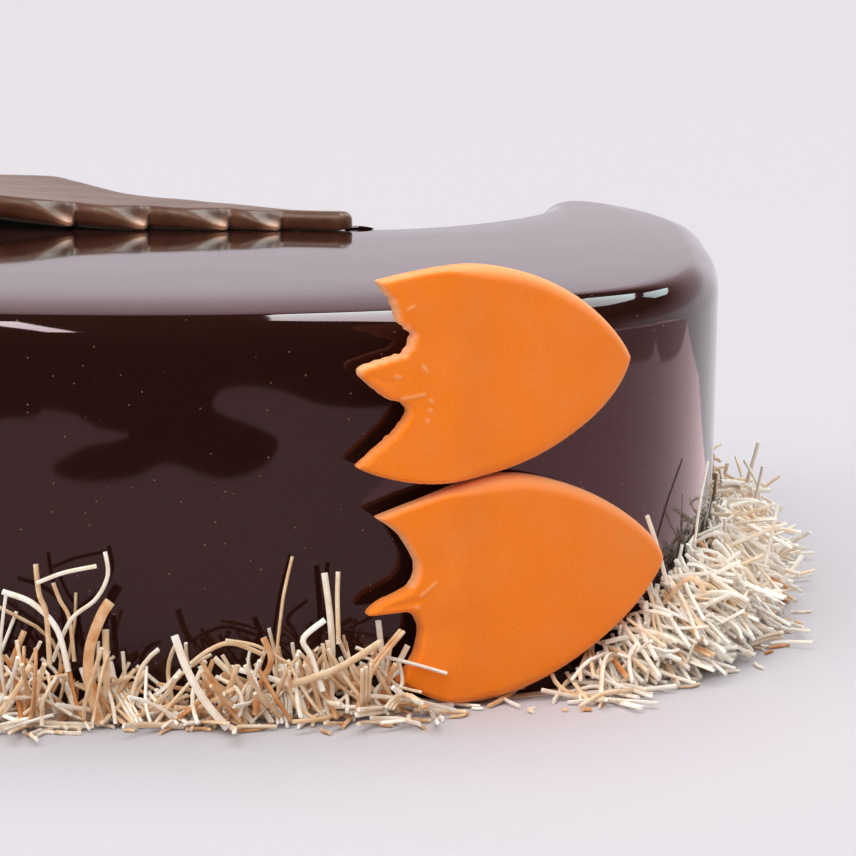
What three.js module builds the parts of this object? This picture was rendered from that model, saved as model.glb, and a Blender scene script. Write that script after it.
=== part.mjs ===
// Easter egg cake: a chocolate cake under a mirror glaze, egg shaped with a short
// upturned tail. A modelling-chocolate wing lies on top, two webbed sugar-paste feet
// are pressed on its near side, one above the other, and a nest of shredded toasted
// pastry lies around its foot.
//
// Millimetres, +Z up. X runs along the cake with the tail at +X, and -Y is the near
// side, where the feet are. The underside is at Z = 0.

import * as THREE from 'three';
import { mergeVertices } from 'three/addons/utils/BufferGeometryUtils.js';
import { TessellateModifier } from 'three/addons/modifiers/TessellateModifier.js';

// ---- Driving dimensions ---------------------------------------------------------

const CAKE_HEIGHT = 58;
const SHOULDER_RADIUS = 5.5;      // roundness of the glazed top edge
const WALL_DRAFT = 1;             // how much narrower the wall is at its foot
const FOOT_CHAMFER = 0.6;         // where the glaze turns in under the wall
const TOUCH_GAP = 0.3;            // kept between pieces that touch

// Hull of the cake's plan, counter-clockwise from the middle of the round end. A cubic
// B-spline runs just inside it.
const PLAN_HULL = [
  [-107, -2], [-101, -45], [-66, -80], [-20, -92],     // round end and near side
  [27, -99.5], [66, -88.5], [100, -70], [109, -30],    // turn below the tail
  [110, 18], [110.5, 44], [97, 87], [81, 82],          // outer edge and tip of the tail
  [83.5, 70.5], [76, 45], [52, 21.5], [31, 38],        // waist behind the wing's nose
  [0, 76], [-36, 90], [-76, 80], [-102, 42],           // far side
];

const WING_THICKNESS = 4.2;       // at the scalloped near edge
const WING_NOSE_THICKNESS = 3.5;  // at the tip of the longest feather
const WING_BACK_THICKNESS = 5.8;  // at the far edge
const WING_RIM = 1.1;             // roundness of its rims
const WING_NEAR_Y = 19;           // line that the feather tips touch
const WING_FAR_Y = 69;
const WING_TIPS_X = [-43, -29, -15, -1, 13, 26.4, 35.5];
const WING_NOSE = [46.4, 21.8];   // middle of the rounded end of the longest feather
const WING_NOSE_RADIUS = 2.6;
const WING_ROOT = [-58, 30];      // where the near edge starts at the round left end
// The far edge, from the nose round to the root.
const WING_FAR_EDGE = [
  [39, 25.5], [28.5, 31], [21, 34.5], [13.8, 38], [5.5, 46], [-2, 58], [-8.5, 66.5], [-20, WING_FAR_Y],
  [-38, 67.5], [-54, 57], [-61.5, 43],
];
const WING_SCALLOP = 2.6;         // how far each feather stands in front of the next
const WING_STEP = 0.8;            // length of the step between two feathers
const WING_TIP_THINNING = 0.65;   // share of the thickness lost at a feather's tip
const WING_TIP_REACH = 4;         // distance over which that happens
const WING_ROOT_REACH = 4;        // handle of the near edge where it leaves the root
const WING_NOSE_FROM = 5;         // the plate starts to thin towards the nose from here

const PASTE_THICKNESS = 4.5;      // rolled sugar paste of the feet
const PASTE_RIM = 1.5;            // roundness of the feet's rims
const FEET_START = [20.2, -96.5]; // point of the near wall that the feet are set out from

// Each foot, seen from the front: distance along the wall from FEET_START, and height.
// The reaches and the offsets are the handles of its sole's curves.
const UPPER_FOOT = {
  topToe: [32.8, 62.3], topNotch: [39, 53.5], middleToe: [30.5, 49.2],
  lowNotch: [38.7, 43.6], lowToe: [30.1, 36],
  crown: [45, 63.8], heel: [72.9, 48.4], base: [43, 33.3],
  crownReach: 12.6, heelAbove: [-0.7, 7.9], heelBelow: [-2.9, -7.8], baseReach: 14.5,
  toeSideReach: 6, topToeAbove: [4, 0.8], lowToeBelow: [3, -1.6],
};
const LOWER_FOOT = {
  topToe: [32.8, 28.6], topNotch: [39.9, 21.6], middleToe: [31.7, 14.7],
  lowNotch: [40.9, 11.5], lowToe: [36.2, 3.5],
  crown: [52, 32.9], heel: [80.2, 18], base: [48.5, 0.3],
  crownReach: 11.5, heelAbove: [-1.4, 5.5], heelBelow: [-1.3, -5.3], baseReach: 12.6,
  toeSideReach: 6, topToeAbove: [4, 0.8], lowToeBelow: [3, -1.6],
};

const NEST_GAP = 0.7;             // between the pastry and the wall's facets
const NEST_WIDTH = 16;            // how far the pastry spreads from the wall
const NEST_WIDTH_SWING = 2.6;     // its unevenness
const NEST_HEIGHT = 13;           // height of the pastry against the wall
const NEST_HEIGHT_SWING = 3;
const NEST_FIRST = 60;            // wall distance where it starts, under the lower heel
const NEST_RISE = 27;             // distance over which it reaches its full height
const NEST_LAST = 31;             // wall distance where it ends, before the lower toes
const NEST_TAPER = 8;
const NEST_START_FULLNESS = 2;    // added to the distance from its start and its end, so
const NEST_END_FULLNESS = 4;      // that both ends have some height
const NEST_WIDTH_POWER = 0.8;     // its width grows faster than its height
// Its section from the wall outwards: shares of its width and of its height.
const NEST_SECTION = [[0, 0], [0, 1], [0.2, 1], [0.5, 0.72], [0.86, 0.3], [1, 0]];
// Slow and quick waves of its width and its height: share, waves round the cake, start.
const NEST_WIDTH_WAVES = [[0.6, 5, 1], [0.4, 13, 0]];
const NEST_HEIGHT_WAVES = [[0.6, 7, 0], [0.4, 17, 2]];

const PLAN_STEPS = 150;           // facets around the cake
const SHOULDER_STEPS = 4;
const NEST_STEPS = 140;
const WING_SPACING = 2;           // between the wing's outline points
const FOOT_SPACING = 1.3;         // between a foot's outline points
const CORNER_PASSES = 3;          // averaging passes that take off their sharp corners
const RIM_INSET = 0.4;            // how far their rims round inwards
const RIM_FOOT = 0.6;             // share of the rim's roundness that the lower rim has
const RIM_TOP = 0.3;              // share of it that is left at the last step of the top rim
const WING_FACET = 8;             // longest facet edge of the wing
const FOOT_FACET = 5;             // and of a foot, which follows the curved wall
const TESSELLATE_PASSES = 8;
const MERGE_DISTANCE = 1e-4;
const PLAN_DIVISIONS = 2400;      // for distances along the plan
const SEARCH_STEP = 0.25;         // between the plan's points that a search looks at

// ---- Materials --------------------------------------------------------------------

const mirrorGlaze = new THREE.MeshStandardMaterial({
  name: 'mirror_glaze', color: 0x2e1c1b, roughness: 0.05, metalness: 0,
});
const modellingChocolate = new THREE.MeshStandardMaterial({
  name: 'modelling_chocolate', color: 0x9a6a52, roughness: 0.45, metalness: 0,
});
const orangePaste = new THREE.MeshStandardMaterial({
  name: 'orange_paste', color: 0xf58a3c, roughness: 0.6, metalness: 0,
});
const toastedPastry = new THREE.MeshStandardMaterial({
  name: 'toasted_pastry', color: 0xdebe96, roughness: 0.75, metalness: 0,
});

// ---- Plan of the cake -----------------------------------------------------------------

// Closed cubic B-spline, inside the hull that guides it.
class PlanCurve extends THREE.Curve {
  constructor(hull) {
    super();
    this.hull = hull;
    this.arcLengthDivisions = PLAN_DIVISIONS;
  }

  getPoint(t, target = new THREE.Vector2()) {
    const count = this.hull.length;
    const along = (((t % 1) + 1) % 1) * count;
    const first = Math.floor(along);
    const f = along - first;
    const weights = [
      (1 - f) ** 3,
      3 * f ** 3 - 6 * f ** 2 + 4,
      -3 * f ** 3 + 3 * f ** 2 + 3 * f + 1,
      f ** 3,
    ];
    target.set(0, 0);
    weights.forEach((weight, k) => {
      const [x, y] = this.hull[(first + k + count - 1) % count];
      target.x += (x * weight) / 6;
      target.y += (y * weight) / 6;
    });
    return target;
  }
}

const plan = new PlanCurve(PLAN_HULL);
const planLength = plan.getLength();

// The wall at a distance along the plan: its point and its outward direction.
function wallAt(distance) {
  const u = (((distance / planLength) % 1) + 1) % 1;
  const point = plan.getPointAt(u);
  const tangent = plan.getTangentAt(u);
  return { point, outward: new THREE.Vector2(tangent.y, -tangent.x) };
}

// Distance along the plan of its point nearest to a given one.
function distanceNearest([x, y]) {
  const target = new THREE.Vector2(x, y);
  let best = 0;
  let gap = Infinity;
  for (let distance = 0; distance < planLength; distance += SEARCH_STEP) {
    const here = wallAt(distance).point.distanceTo(target);
    if (here < gap) {
      gap = here;
      best = distance;
    }
  }
  return best;
}

const feetStart = distanceNearest(FEET_START);

// How far inside the plan the wall stands at a height, from its draft alone.
function draftAt(height) {
  const top = CAKE_HEIGHT - SHOULDER_RADIUS;
  return WALL_DRAFT * THREE.MathUtils.clamp((top - height) / top, 0, 1);
}

// A point at a wall distance, a height, and a distance out from the wall's face.
function besideWall(distance, height, out) {
  const { point, outward } = wallAt(distance);
  const reach = out - draftAt(height);
  return new THREE.Vector3(point.x + outward.x * reach, point.y + outward.y * reach, height);
}

// ---- Solids ----------------------------------------------------------------------------

function meshGeometry(points, triangles) {
  const geometry = new THREE.BufferGeometry();
  const positions = points.flatMap((point) => [point.x, point.y, point.z]);
  geometry.setAttribute('position', new THREE.Float32BufferAttribute(positions, 3));
  geometry.setIndex(triangles);
  return geometry;
}

// Skin over closed sections of equal count. The sections run on, each one turned
// counter-clockwise when seen from the last section; the two ends are capped.
function loftedSolid(sections, capOutline) {
  const count = sections[0].length;
  const triangles = [];
  for (let k = 0; k + 1 < sections.length; k += 1) {
    for (let i = 0; i < count; i += 1) {
      const next = (i + 1) % count;
      const a = k * count + i;
      const b = k * count + next;
      triangles.push(a, b, b + count, a, b + count, a + count);
    }
  }
  const last = (sections.length - 1) * count;
  for (const [a, b, c] of THREE.ShapeUtils.triangulateShape(capOutline(sections[0]), [])) {
    triangles.push(a, c, b);
  }
  for (const [a, b, c] of THREE.ShapeUtils.triangulateShape(capOutline(sections.at(-1)), [])) {
    triangles.push(last + a, last + b, last + c);
  }
  return meshGeometry(sections.flat(), triangles);
}

// Points spaced evenly along a closed shape, with its sharp corners a little rounded.
function softOutline(shape, spacing) {
  const count = Math.round(shape.getLength() / spacing);
  let points = shape.getSpacedPoints(count).slice(0, count);
  for (let pass = 0; pass < CORNER_PASSES; pass += 1) {
    points = points.map((point, i) => {
      const before = points[(i + count - 1) % count];
      const after = points[(i + 1) % count];
      return new THREE.Vector2(
        (before.x + 2 * point.x + after.x) / 4,
        (before.y + 2 * point.y + after.y) / 4,
      );
    });
  }
  return points;
}

// A plate from 0 to `thickness` whose rims are rounded over the height `rim`.
function softPlate(outline, thickness, rim, facet) {
  const profile = [[0, 0.5], [rim * RIM_FOOT, 0], [thickness - rim, 0],
    [thickness - rim * RIM_TOP, 0.4], [thickness, 1]];
  const sections = profile.map(([height, share]) => outline.map((point, i) => {
    const before = outline[(i + outline.length - 1) % outline.length];
    const along = outline[(i + 1) % outline.length].clone().sub(before).normalize();
    const inset = share * RIM_INSET;
    return new THREE.Vector3(point.x - along.y * inset, point.y + along.x * inset, height);
  }));
  const plate = loftedSolid(sections, (ring) => ring.map(({ x, y }) => new THREE.Vector2(x, y)));
  const facets = new TessellateModifier(facet, TESSELLATE_PASSES).modify(plate);
  return mergeVertices(facets, MERGE_DISTANCE);
}

function moveVertices(geometry, move) {
  const positions = geometry.getAttribute('position');
  const point = new THREE.Vector3();
  for (let i = 0; i < positions.count; i += 1) {
    point.fromBufferAttribute(positions, i);
    const moved = move(point);
    positions.setXYZ(i, moved.x, moved.y, moved.z);
  }
  return geometry;
}

// ---- Glazed cake ---------------------------------------------------------------------

function cakeGeometry() {
  const wallTop = CAKE_HEIGHT - SHOULDER_RADIUS;
  const profile = [
    { height: 0, inset: WALL_DRAFT + FOOT_CHAMFER },
    { height: FOOT_CHAMFER, inset: WALL_DRAFT },
  ];
  for (let k = 0; k <= SHOULDER_STEPS; k += 1) {
    const angle = (k / SHOULDER_STEPS) * (Math.PI / 2);
    profile.push({
      height: wallTop + SHOULDER_RADIUS * Math.sin(angle),
      inset: SHOULDER_RADIUS * (1 - Math.cos(angle)),
    });
  }
  const rings = profile.map(({ height, inset }) => {
    const ring = [];
    for (let i = 0; i < PLAN_STEPS; i += 1) {
      const { point, outward } = wallAt((i / PLAN_STEPS) * planLength);
      ring.push(new THREE.Vector3(point.x - outward.x * inset, point.y - outward.y * inset, height));
    }
    return ring;
  });
  return loftedSolid(rings, (ring) => ring.map((point) => new THREE.Vector2(point.x, point.y)));
}

// ---- Wing ------------------------------------------------------------------------------

// Near edge of overlapping feather ends, long nose at the right, rounded far side.
function wingShape() {
  const [rootX, rootY] = WING_ROOT;
  const [noseX, noseY] = WING_NOSE;
  const [firstTip, ...otherTips] = WING_TIPS_X;
  const notchY = WING_NEAR_Y + WING_SCALLOP;
  const shape = new THREE.Shape();
  shape.moveTo(rootX, rootY);
  shape.quadraticCurveTo(rootX + WING_ROOT_REACH, notchY, firstTip, WING_NEAR_Y);
  for (const tipX of otherTips) {
    const startX = shape.currentPoint.x + WING_STEP;
    shape.lineTo(startX, notchY);
    shape.quadraticCurveTo((startX + tipX) / 2, WING_NEAR_Y + WING_SCALLOP / 2, tipX, WING_NEAR_Y);
  }
  shape.lineTo(otherTips.at(-1) + WING_STEP, notchY);
  shape.lineTo(noseX, noseY - WING_NOSE_RADIUS);
  shape.absarc(noseX, noseY, WING_NOSE_RADIUS, -Math.PI / 2, Math.PI / 2, false);
  shape.splineThru([...WING_FAR_EDGE, WING_ROOT].map(([x, y]) => new THREE.Vector2(x, y)));
  return shape;
}

function wingThicknessAt(x, y) {
  const back = THREE.MathUtils.clamp((y - WING_NEAR_Y) / (WING_FAR_Y - WING_NEAR_Y), 0, 1);
  const nose = THREE.MathUtils.smoothstep(x, WING_NOSE_FROM, WING_NOSE[0]);
  const whole = THREE.MathUtils.lerp(WING_THICKNESS, WING_BACK_THICKNESS, back * back)
    - nose * (WING_THICKNESS - WING_NOSE_THICKNESS);
  const pinch = WING_TIPS_X.reduce((most, tipX) => {
    const away = Math.hypot(x - tipX, y - WING_NEAR_Y) / WING_TIP_REACH;
    return Math.max(most, Math.exp(-away * away));
  }, 0);
  return whole * (1 - WING_TIP_THINNING * pinch);
}

function wingGeometry() {
  const outline = softOutline(wingShape(), WING_SPACING);
  const plate = softPlate(outline, WING_THICKNESS, WING_RIM, WING_FACET);
  return moveVertices(plate, ({ x, y, z }) => new THREE.Vector3(
    x, y, CAKE_HEIGHT + TOUCH_GAP + (z / WING_THICKNESS) * wingThicknessAt(x, y),
  ));
}

// ---- Feet --------------------------------------------------------------------------------

// Outline of a webbed foot: three toes at the left with notches between them, and a
// leaf-shaped sole that ends in the heel at the right.
function footShape(marks) {
  const { topToe, topNotch, middleToe, lowNotch, lowToe, crown, heel, base } = marks;
  const { crownReach, heelAbove, heelBelow, baseReach } = marks;
  const { toeSideReach, topToeAbove, lowToeBelow } = marks;
  const shape = new THREE.Shape();
  const curve = (from, [ax, ay], to, [bx, by]) => shape.bezierCurveTo(
    from[0] + ax, from[1] + ay, to[0] + bx, to[1] + by, ...to,
  );
  shape.moveTo(...lowToe);
  curve(lowToe, lowToeBelow, base, [-toeSideReach, 0]);
  curve(base, [baseReach, 0], heel, heelBelow);
  curve(heel, heelAbove, crown, [crownReach, 0]);
  curve(crown, [-toeSideReach, 0], topToe, topToeAbove);
  for (const [from, to] of [[topToe, topNotch], [topNotch, middleToe],
    [middleToe, lowNotch], [lowNotch, lowToe]]) {
    const notch = from[0] > to[0] ? from : to;
    shape.quadraticCurveTo(notch[0], (from[1] + to[1]) / 2, ...to);
  }
  return shape;
}

function footGeometry(marks) {
  const outline = softOutline(footShape(marks), FOOT_SPACING);
  const plate = softPlate(outline, PASTE_THICKNESS, PASTE_RIM, FOOT_FACET);
  return moveVertices(plate, ({ x, y, z }) => besideWall(feetStart + x, y, TOUCH_GAP + z));
}

// ---- Pastry nest -----------------------------------------------------------------------

// The sum of a few waves at a turn round the cake.
function unevenness(waves, turn) {
  return waves.reduce((sum, [share, count, start]) => (
    sum + share * Math.sin(count * turn + start)
  ), 0);
}

// An uneven bank around the wall's foot, open where the lower foot stands.
function nestGeometry() {
  const runLength = planLength + NEST_LAST - NEST_FIRST;
  const sections = [];
  for (let k = 0; k <= NEST_STEPS; k += 1) {
    const run = (k / NEST_STEPS) * runLength;
    const distance = feetStart + NEST_FIRST + run;
    const turn = (2 * Math.PI * run) / planLength;
    const rise = Math.min(1, (run + NEST_START_FULLNESS) / NEST_RISE);
    const fall = Math.min(1, (runLength - run + NEST_END_FULLNESS) / NEST_TAPER);
    const fullness = Math.min(rise, fall);
    const width = fullness ** NEST_WIDTH_POWER
      * (NEST_WIDTH + NEST_WIDTH_SWING * unevenness(NEST_WIDTH_WAVES, turn));
    const height = fullness
      * (NEST_HEIGHT + NEST_HEIGHT_SWING * unevenness(NEST_HEIGHT_WAVES, turn));
    sections.push(NEST_SECTION.map(([across, up]) => besideWall(
      distance, height * up, THREE.MathUtils.lerp(NEST_GAP, width, across),
    )));
  }
  return loftedSolid(sections, (section) => {
    const outward = section.at(-1).clone().sub(section[0]).normalize();
    return section.map((point) => {
      const across = point.clone().sub(section[0]);
      return new THREE.Vector2(across.z, across.dot(outward));
    });
  });
}

// ---- Assembly -----------------------------------------------------------------------------

const pieces = {
  cake_body: [cakeGeometry(), mirrorGlaze],
  wing: [wingGeometry(), modellingChocolate],
  foot_upper: [footGeometry(UPPER_FOOT), orangePaste],
  foot_lower: [footGeometry(LOWER_FOOT), orangePaste],
  pastry_nest: [nestGeometry(), toastedPastry],
};

const cake = new THREE.Group();
for (const [name, [geometry, material]] of Object.entries(pieces)) {
  const piece = new THREE.Mesh(geometry, material);
  piece.name = name;
  cake.add(piece);
}

// The middle of the underside is the origin.
const extent = new THREE.Box3().setFromObject(cake);
cake.position.set(-(extent.min.x + extent.max.x) / 2, -(extent.min.y + extent.max.y) / 2, 0);

export default cake;
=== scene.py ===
"""Easter egg cake: a dark chocolate cake under a mirror glaze, with a modelling-chocolate
wing on top, two sugar-paste feet on its near side and a nest of shredded toasted pastry
round its foot.

Laid out as an add-on and run as a script. Metres, +Z up; the tail is at +X and the near
side, with the feet, at -Y.
"""

import math

import bmesh
import bpy
import numpy as np
from mathutils import Matrix, Vector, kdtree, noise


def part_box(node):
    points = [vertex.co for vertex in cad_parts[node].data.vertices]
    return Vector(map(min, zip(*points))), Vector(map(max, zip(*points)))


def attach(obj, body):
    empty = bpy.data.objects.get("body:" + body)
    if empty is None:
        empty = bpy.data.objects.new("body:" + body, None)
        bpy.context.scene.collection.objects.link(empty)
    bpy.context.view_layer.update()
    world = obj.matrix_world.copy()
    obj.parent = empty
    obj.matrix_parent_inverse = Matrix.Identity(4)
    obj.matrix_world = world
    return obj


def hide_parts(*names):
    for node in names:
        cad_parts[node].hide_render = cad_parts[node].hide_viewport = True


bl_info = {
    "name": "Easter Egg Cake",
    "version": (1, 0, 0),
    "blender": (4, 5, 0),
    "location": "View3D > Sidebar > Egg Cake",
    "description": "Builds the pieces of a glazed easter egg cake and its stage",
    "category": "Add Mesh",
}

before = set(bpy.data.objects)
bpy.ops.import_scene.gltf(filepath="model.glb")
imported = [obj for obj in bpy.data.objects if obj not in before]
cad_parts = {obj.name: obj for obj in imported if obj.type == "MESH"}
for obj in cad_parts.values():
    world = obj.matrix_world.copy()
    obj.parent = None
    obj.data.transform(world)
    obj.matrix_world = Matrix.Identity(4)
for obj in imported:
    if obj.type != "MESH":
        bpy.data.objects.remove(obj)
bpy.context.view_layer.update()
MM = 0.001
SEED = 11

_, CAKE_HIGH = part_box("cake_body")
WING_LOW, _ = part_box("wing")
CAKE_TOP = CAKE_HIGH.z
GLAZE_LIP = 5.5 * MM  # height of the rounded shoulder in the frame
WELD = 0.01 * MM  # corners closer than this are one corner
NOISE_STEP = (17.3, 7.9, 3.1)  # from one noise's place to the next one's
SOFTEN_TIMES = 2
SOFTEN_FACTOR = 0.5
MIX_A, MIX_B, MIXED = 6, 7, 2  # a Mix node's colour inputs and its colour output


# ---- Small tools -----------------------------------------------------------------------


def linear(code):
    """An sRGB colour such as "2e1c1b" as linear red, green, blue and full alpha."""
    shares = [int(code[i : i + 2], 16) / 255 for i in (0, 2, 4)]
    return (*(s / 12.92 if s <= 0.04045 else ((s + 0.055) / 1.055) ** 2.4 for s in shares), 1.0)


def add_node(tree, kind, settings=None, inputs=None):
    """Adds a node with its settings; an input is a value or the socket that feeds it."""
    made = tree.nodes.new(kind)
    for name, value in (settings or {}).items():
        setattr(made, name, value)
    for name, value in (inputs or {}).items():
        if isinstance(value, bpy.types.NodeSocket):
            tree.links.new(value, made.inputs[name])
        else:
            made.inputs[name].default_value = value
    return made


def ramp_stops(made, stops):
    """Gives a colour ramp its stops, as (place, linear colour) pairs."""
    elements = made.color_ramp.elements
    while len(elements) < len(stops):
        elements.new(0.5)
    for element, (place, colour) in zip(elements, stops):
        element.position = place
        element.color = colour
    return made


def bezier(handles, count):
    """Points on a Bezier curve through any number of handles, without its last point."""
    t = np.linspace(0, 1, count, endpoint=False)[:, None]
    layers = [np.repeat(np.array(handle, float)[None], count, 0) for handle in handles]
    while len(layers) > 1:
        layers = [a + (b - a) * t for a, b in zip(layers, layers[1:])]
    return layers[0]


def smooth_through(points, count):
    """Points on a curve through all the given ones, without the last of them."""
    points = np.array(points, float)
    ends = np.vstack([points[:1], points, points[-1:]])
    t = np.linspace(0, 1, count, endpoint=False)[:, None]
    parts = []
    for a, b, c, d in zip(ends, ends[1:], ends[2:], ends[3:]):
        slope_b, slope_c = (c - a) / 2, (d - b) / 2
        parts.append(
            (2 * t**3 - 3 * t**2 + 1) * b
            + (t**3 - 2 * t**2 + t) * slope_b
            + (3 * t**2 - 2 * t**3) * c
            + (t**3 - t**2) * slope_c
        )
    return np.vstack(parts)


def reach_along(line):
    """Distance along a line of points, from its first to each of them."""
    steps = np.linalg.norm(np.diff(line, axis=0), axis=1)
    return np.concatenate([[0], np.cumsum(steps)])


def evenly_spaced(outline, spacing):
    """A closed outline again, as points at an even spacing."""
    closed = np.vstack([outline, outline[:1]])
    reach = reach_along(closed)
    marks = np.arange(0, reach[-1], spacing)
    return np.stack([np.interp(marks, reach, closed[:, k]) for k in (0, 1)], 1)


def finder(points):
    """A search tree over points in the plane."""
    tree = kdtree.KDTree(len(points))
    for i, (x, y) in enumerate(points):
        tree.insert((x, y, 0), i)
    tree.balance()
    return tree


def inside(outline, points):
    """Which points lie inside a closed outline."""
    x, y = points[:, 0], points[:, 1]
    within = np.zeros(len(points), bool)
    for (ax, ay), (bx, by) in zip(outline, np.roll(outline, -1, 0)):
        if ay != by:
            crosses = (ay > y) != (by > y)
            within ^= crosses & (x < ax + (y - ay) * (bx - ax) / (by - ay))
    return within


def rough(place, size, seed):
    """Smooth noise from -1 to 1 at a place, with features of about that size."""
    return noise.noise(Vector(place) / size + Vector([seed * step for step in NOISE_STEP]))


def eased(share):
    """A share from 0 to 1 that starts and ends slowly."""
    return share * share * (3 - 2 * share)


def new_object(name, data):
    """An object with its data, in the scene."""
    made = bpy.data.objects.new(name, data)
    bpy.context.scene.collection.objects.link(made)
    return made


def new_piece(name, shape, material, replaced=()):
    """Turns a bmesh into a smooth-shaded piece of the object that rides on its body."""
    mesh = bpy.data.meshes.new(name)
    shape.to_mesh(mesh)
    shape.free()
    return dress_piece(name, mesh, material, replaced)


def dress_piece(name, mesh, material, replaced=()):
    """Makes a mesh a piece: material, smooth shading, body and what it replaces."""
    mesh.materials.clear()
    mesh.materials.append(material)
    mesh.shade_smooth()
    piece = new_object(name, mesh)
    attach(piece, "root")
    if replaced:
        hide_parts(*replaced)
    return piece


def extrude_cap(shape, cap):
    """Extrudes a face where it lies and returns the new one. The old one is left only
    where it closes the start."""
    starts = all(len(edge.link_faces) == 1 for edge in cap.edges)
    made = bmesh.ops.extrude_face_region(shape, geom=[cap])["geom"]
    if not starts:
        bmesh.ops.delete(shape, geom=[cap], context="FACES_ONLY")
    return next(part for part in made if isinstance(part, bmesh.types.BMFace))


def slab(outline, thickness, voxel):
    """A plate on the outline, from 0 to its thickness, remeshed into small even faces."""
    shape = bmesh.new()
    corners = [shape.verts.new((x, y, 0)) for x, y in outline]
    top = extrude_cap(shape, shape.faces.new(corners))
    bmesh.ops.translate(shape, verts=top.verts, vec=(0, 0, thickness))
    bmesh.ops.recalc_face_normals(shape, faces=shape.faces)
    mesh = bpy.data.meshes.new("slab")
    shape.to_mesh(mesh)
    holder = new_object("slab", mesh)
    remesh = holder.modifiers.new("even_faces", "REMESH")
    remesh.mode = "VOXEL"
    remesh.voxel_size = voxel
    depsgraph = bpy.context.evaluated_depsgraph_get()
    shape.clear()
    shape.from_mesh(bpy.data.meshes.new_from_object(holder.evaluated_get(depsgraph)))
    bpy.data.objects.remove(holder)
    bpy.data.meshes.remove(mesh)
    return shape


def soften(shape):
    """Takes the steps of the remesh off a shape."""
    for _ in range(SOFTEN_TIMES):
        bmesh.ops.smooth_vert(shape, verts=shape.verts, factor=SOFTEN_FACTOR,
                              use_axis_x=True, use_axis_y=True, use_axis_z=True)


# ---- The wall's line ----------------------------------------------------------------------

WALL_DRAFT = 1.0 * MM  # how much narrower the wall is at its foot
RING_GAP = 0.05 * MM  # the ring's corners are this near to its height
MARK_GAP = 0.25 * MM  # spacing of the marks that places are looked up by
LENGTH_POINTS = 4001  # points that the line's length is measured by


def draft_at(height):
    """How far in the wall's face lies at a height."""
    return WALL_DRAFT * np.clip(1 - height / (CAKE_TOP - GLAZE_LIP), 0, 1)


class Wall:
    """The wall's line in plan: one smooth closed curve through the frame's own corners."""

    def __init__(self, node, height):
        """Reads the ring of corners that the node has at that height."""
        shape = bmesh.new()
        shape.from_mesh(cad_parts[node].data)
        bmesh.ops.remove_doubles(shape, verts=shape.verts, dist=WELD)
        level = {v for v in shape.verts if abs(v.co.z - height) < RING_GAP}
        first = here = min(level, key=lambda v: v.co.x)
        ring, before = [], None
        while here is not first or not ring:
            ring.append(complex(here.co.x, here.co.y))
            ways = [e.other_vert(here) for e in here.link_edges]
            ways = [v for v in ways if v in level and v is not before]
            before, here = here, min(ways, key=lambda v: v.co.y) if before is None else ways[0]
        shape.free()
        self.weights = np.fft.fft(ring) / len(ring)
        self.waves = np.fft.fftfreq(len(ring), 1 / len(ring))
        self.length = 1.0
        line, _ = self.at(np.linspace(0, 1, LENGTH_POINTS))
        self.length = float(np.linalg.norm(np.diff(line, axis=0), axis=1).sum())
        self.marks = np.arange(0, self.length, MARK_GAP)
        self.line, self.outward = self.at(self.marks)
        self.tree = finder(self.line)

    def at(self, distance):
        """Points of the line and its outward directions, at distances along it."""
        turns = np.atleast_1d(distance) / self.length
        waves = np.exp(2j * np.pi * np.outer(turns, self.waves))
        place = waves @ self.weights
        way = waves @ (self.weights * 2j * np.pi * self.waves)
        way = way / np.abs(way) * -1j
        return np.stack([place.real, place.imag], 1), np.stack([way.real, way.imag], 1)

    def locate(self, points):
        """Distance along the line, and out from it, of points given by x and y."""
        nearest = np.array([self.tree.find((x, y, 0))[1] for x, y in points[:, :2]])
        away = points[:, :2] - self.line[nearest]
        return self.marks[nearest], (away * self.outward[nearest]).sum(1)

    def beside(self, distance, height, out):
        """Points at a wall distance, a height and a distance out from the wall's face."""
        line, outward = self.at(distance)
        reach = out - draft_at(height)
        return np.column_stack([line + outward * np.reshape(reach, (-1, 1)), height])


wall = Wall("cake_body", CAKE_TOP - GLAZE_LIP)


# ---- Settings ----------------------------------------------------------------------------


def size(name, description, millimetres):
    """A length that a user may change."""
    return bpy.props.FloatProperty(
        name=name, description=description, default=millimetres * MM, unit="LENGTH", precision=4
    )


def colour(name, description, code):
    """A colour that a user may change."""
    return bpy.props.FloatVectorProperty(
        name=name, description=description, default=linear(code), size=4, subtype="COLOR",
        min=0.0, max=1.0,
    )


class EggCakeGlaze(bpy.types.PropertyGroup):
    """Glazed cake body."""

    shoulder: size("Shoulder", "Roundness of the glazed top edge", 5.5)
    column: size("Column", "Width of one face of the wall", 1.2)
    sweep: size("Sweep", "How far the poured shoulder swings in and out", 0.15)
    base: colour("Glaze", "Colour of the dark chocolate glaze", "26120e")
    # The specks' colour: partly the dust's own, partly a painted highlight of the tiny bubbles.
    dust_and_glint: colour("Specks", "Colour of the few pale specks on the glaze", "80604f")


class EggCakeWing(bpy.types.PropertyGroup):
    """Modelling-chocolate wing."""

    near: size("Near edge", "Thickness at the feather ends", 4.2)
    nose: size("Nose", "Thickness at the tip of the longest feather", 3.1)
    back: size("Back edge", "Thickness at the far side", 5.8)
    rim: size("Rim", "Roundness of the rims", 1.5)
    voxel: size("Face", "Width of one face", 0.34)
    base: colour("Chocolate", "Colour of the modelling chocolate", "3e1506")
    # This pale colour is also painted along the wing's top rims as a painted highlight.
    worn: colour("Edges", "Colour of its thin and torn edges", "c48d6c")


class EggCakeFeet(bpy.types.PropertyGroup):
    """Sugar-paste feet."""

    thickness: size("Thickness", "Thickness of the rolled paste", 4.5)
    rim: size("Rim", "Roundness of the rims", 2.1)
    voxel: size("Face", "Width of one face", 0.22)
    base: colour("Paste", "Colour of the sugar paste", "fb8118")
    # This pale colour is painted on the ripped bits, the flecks and the upper rims as a painted
    # highlight.
    torn: colour("Torn paste", "Colour of its torn bits and thin edges", "ffc091")


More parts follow.
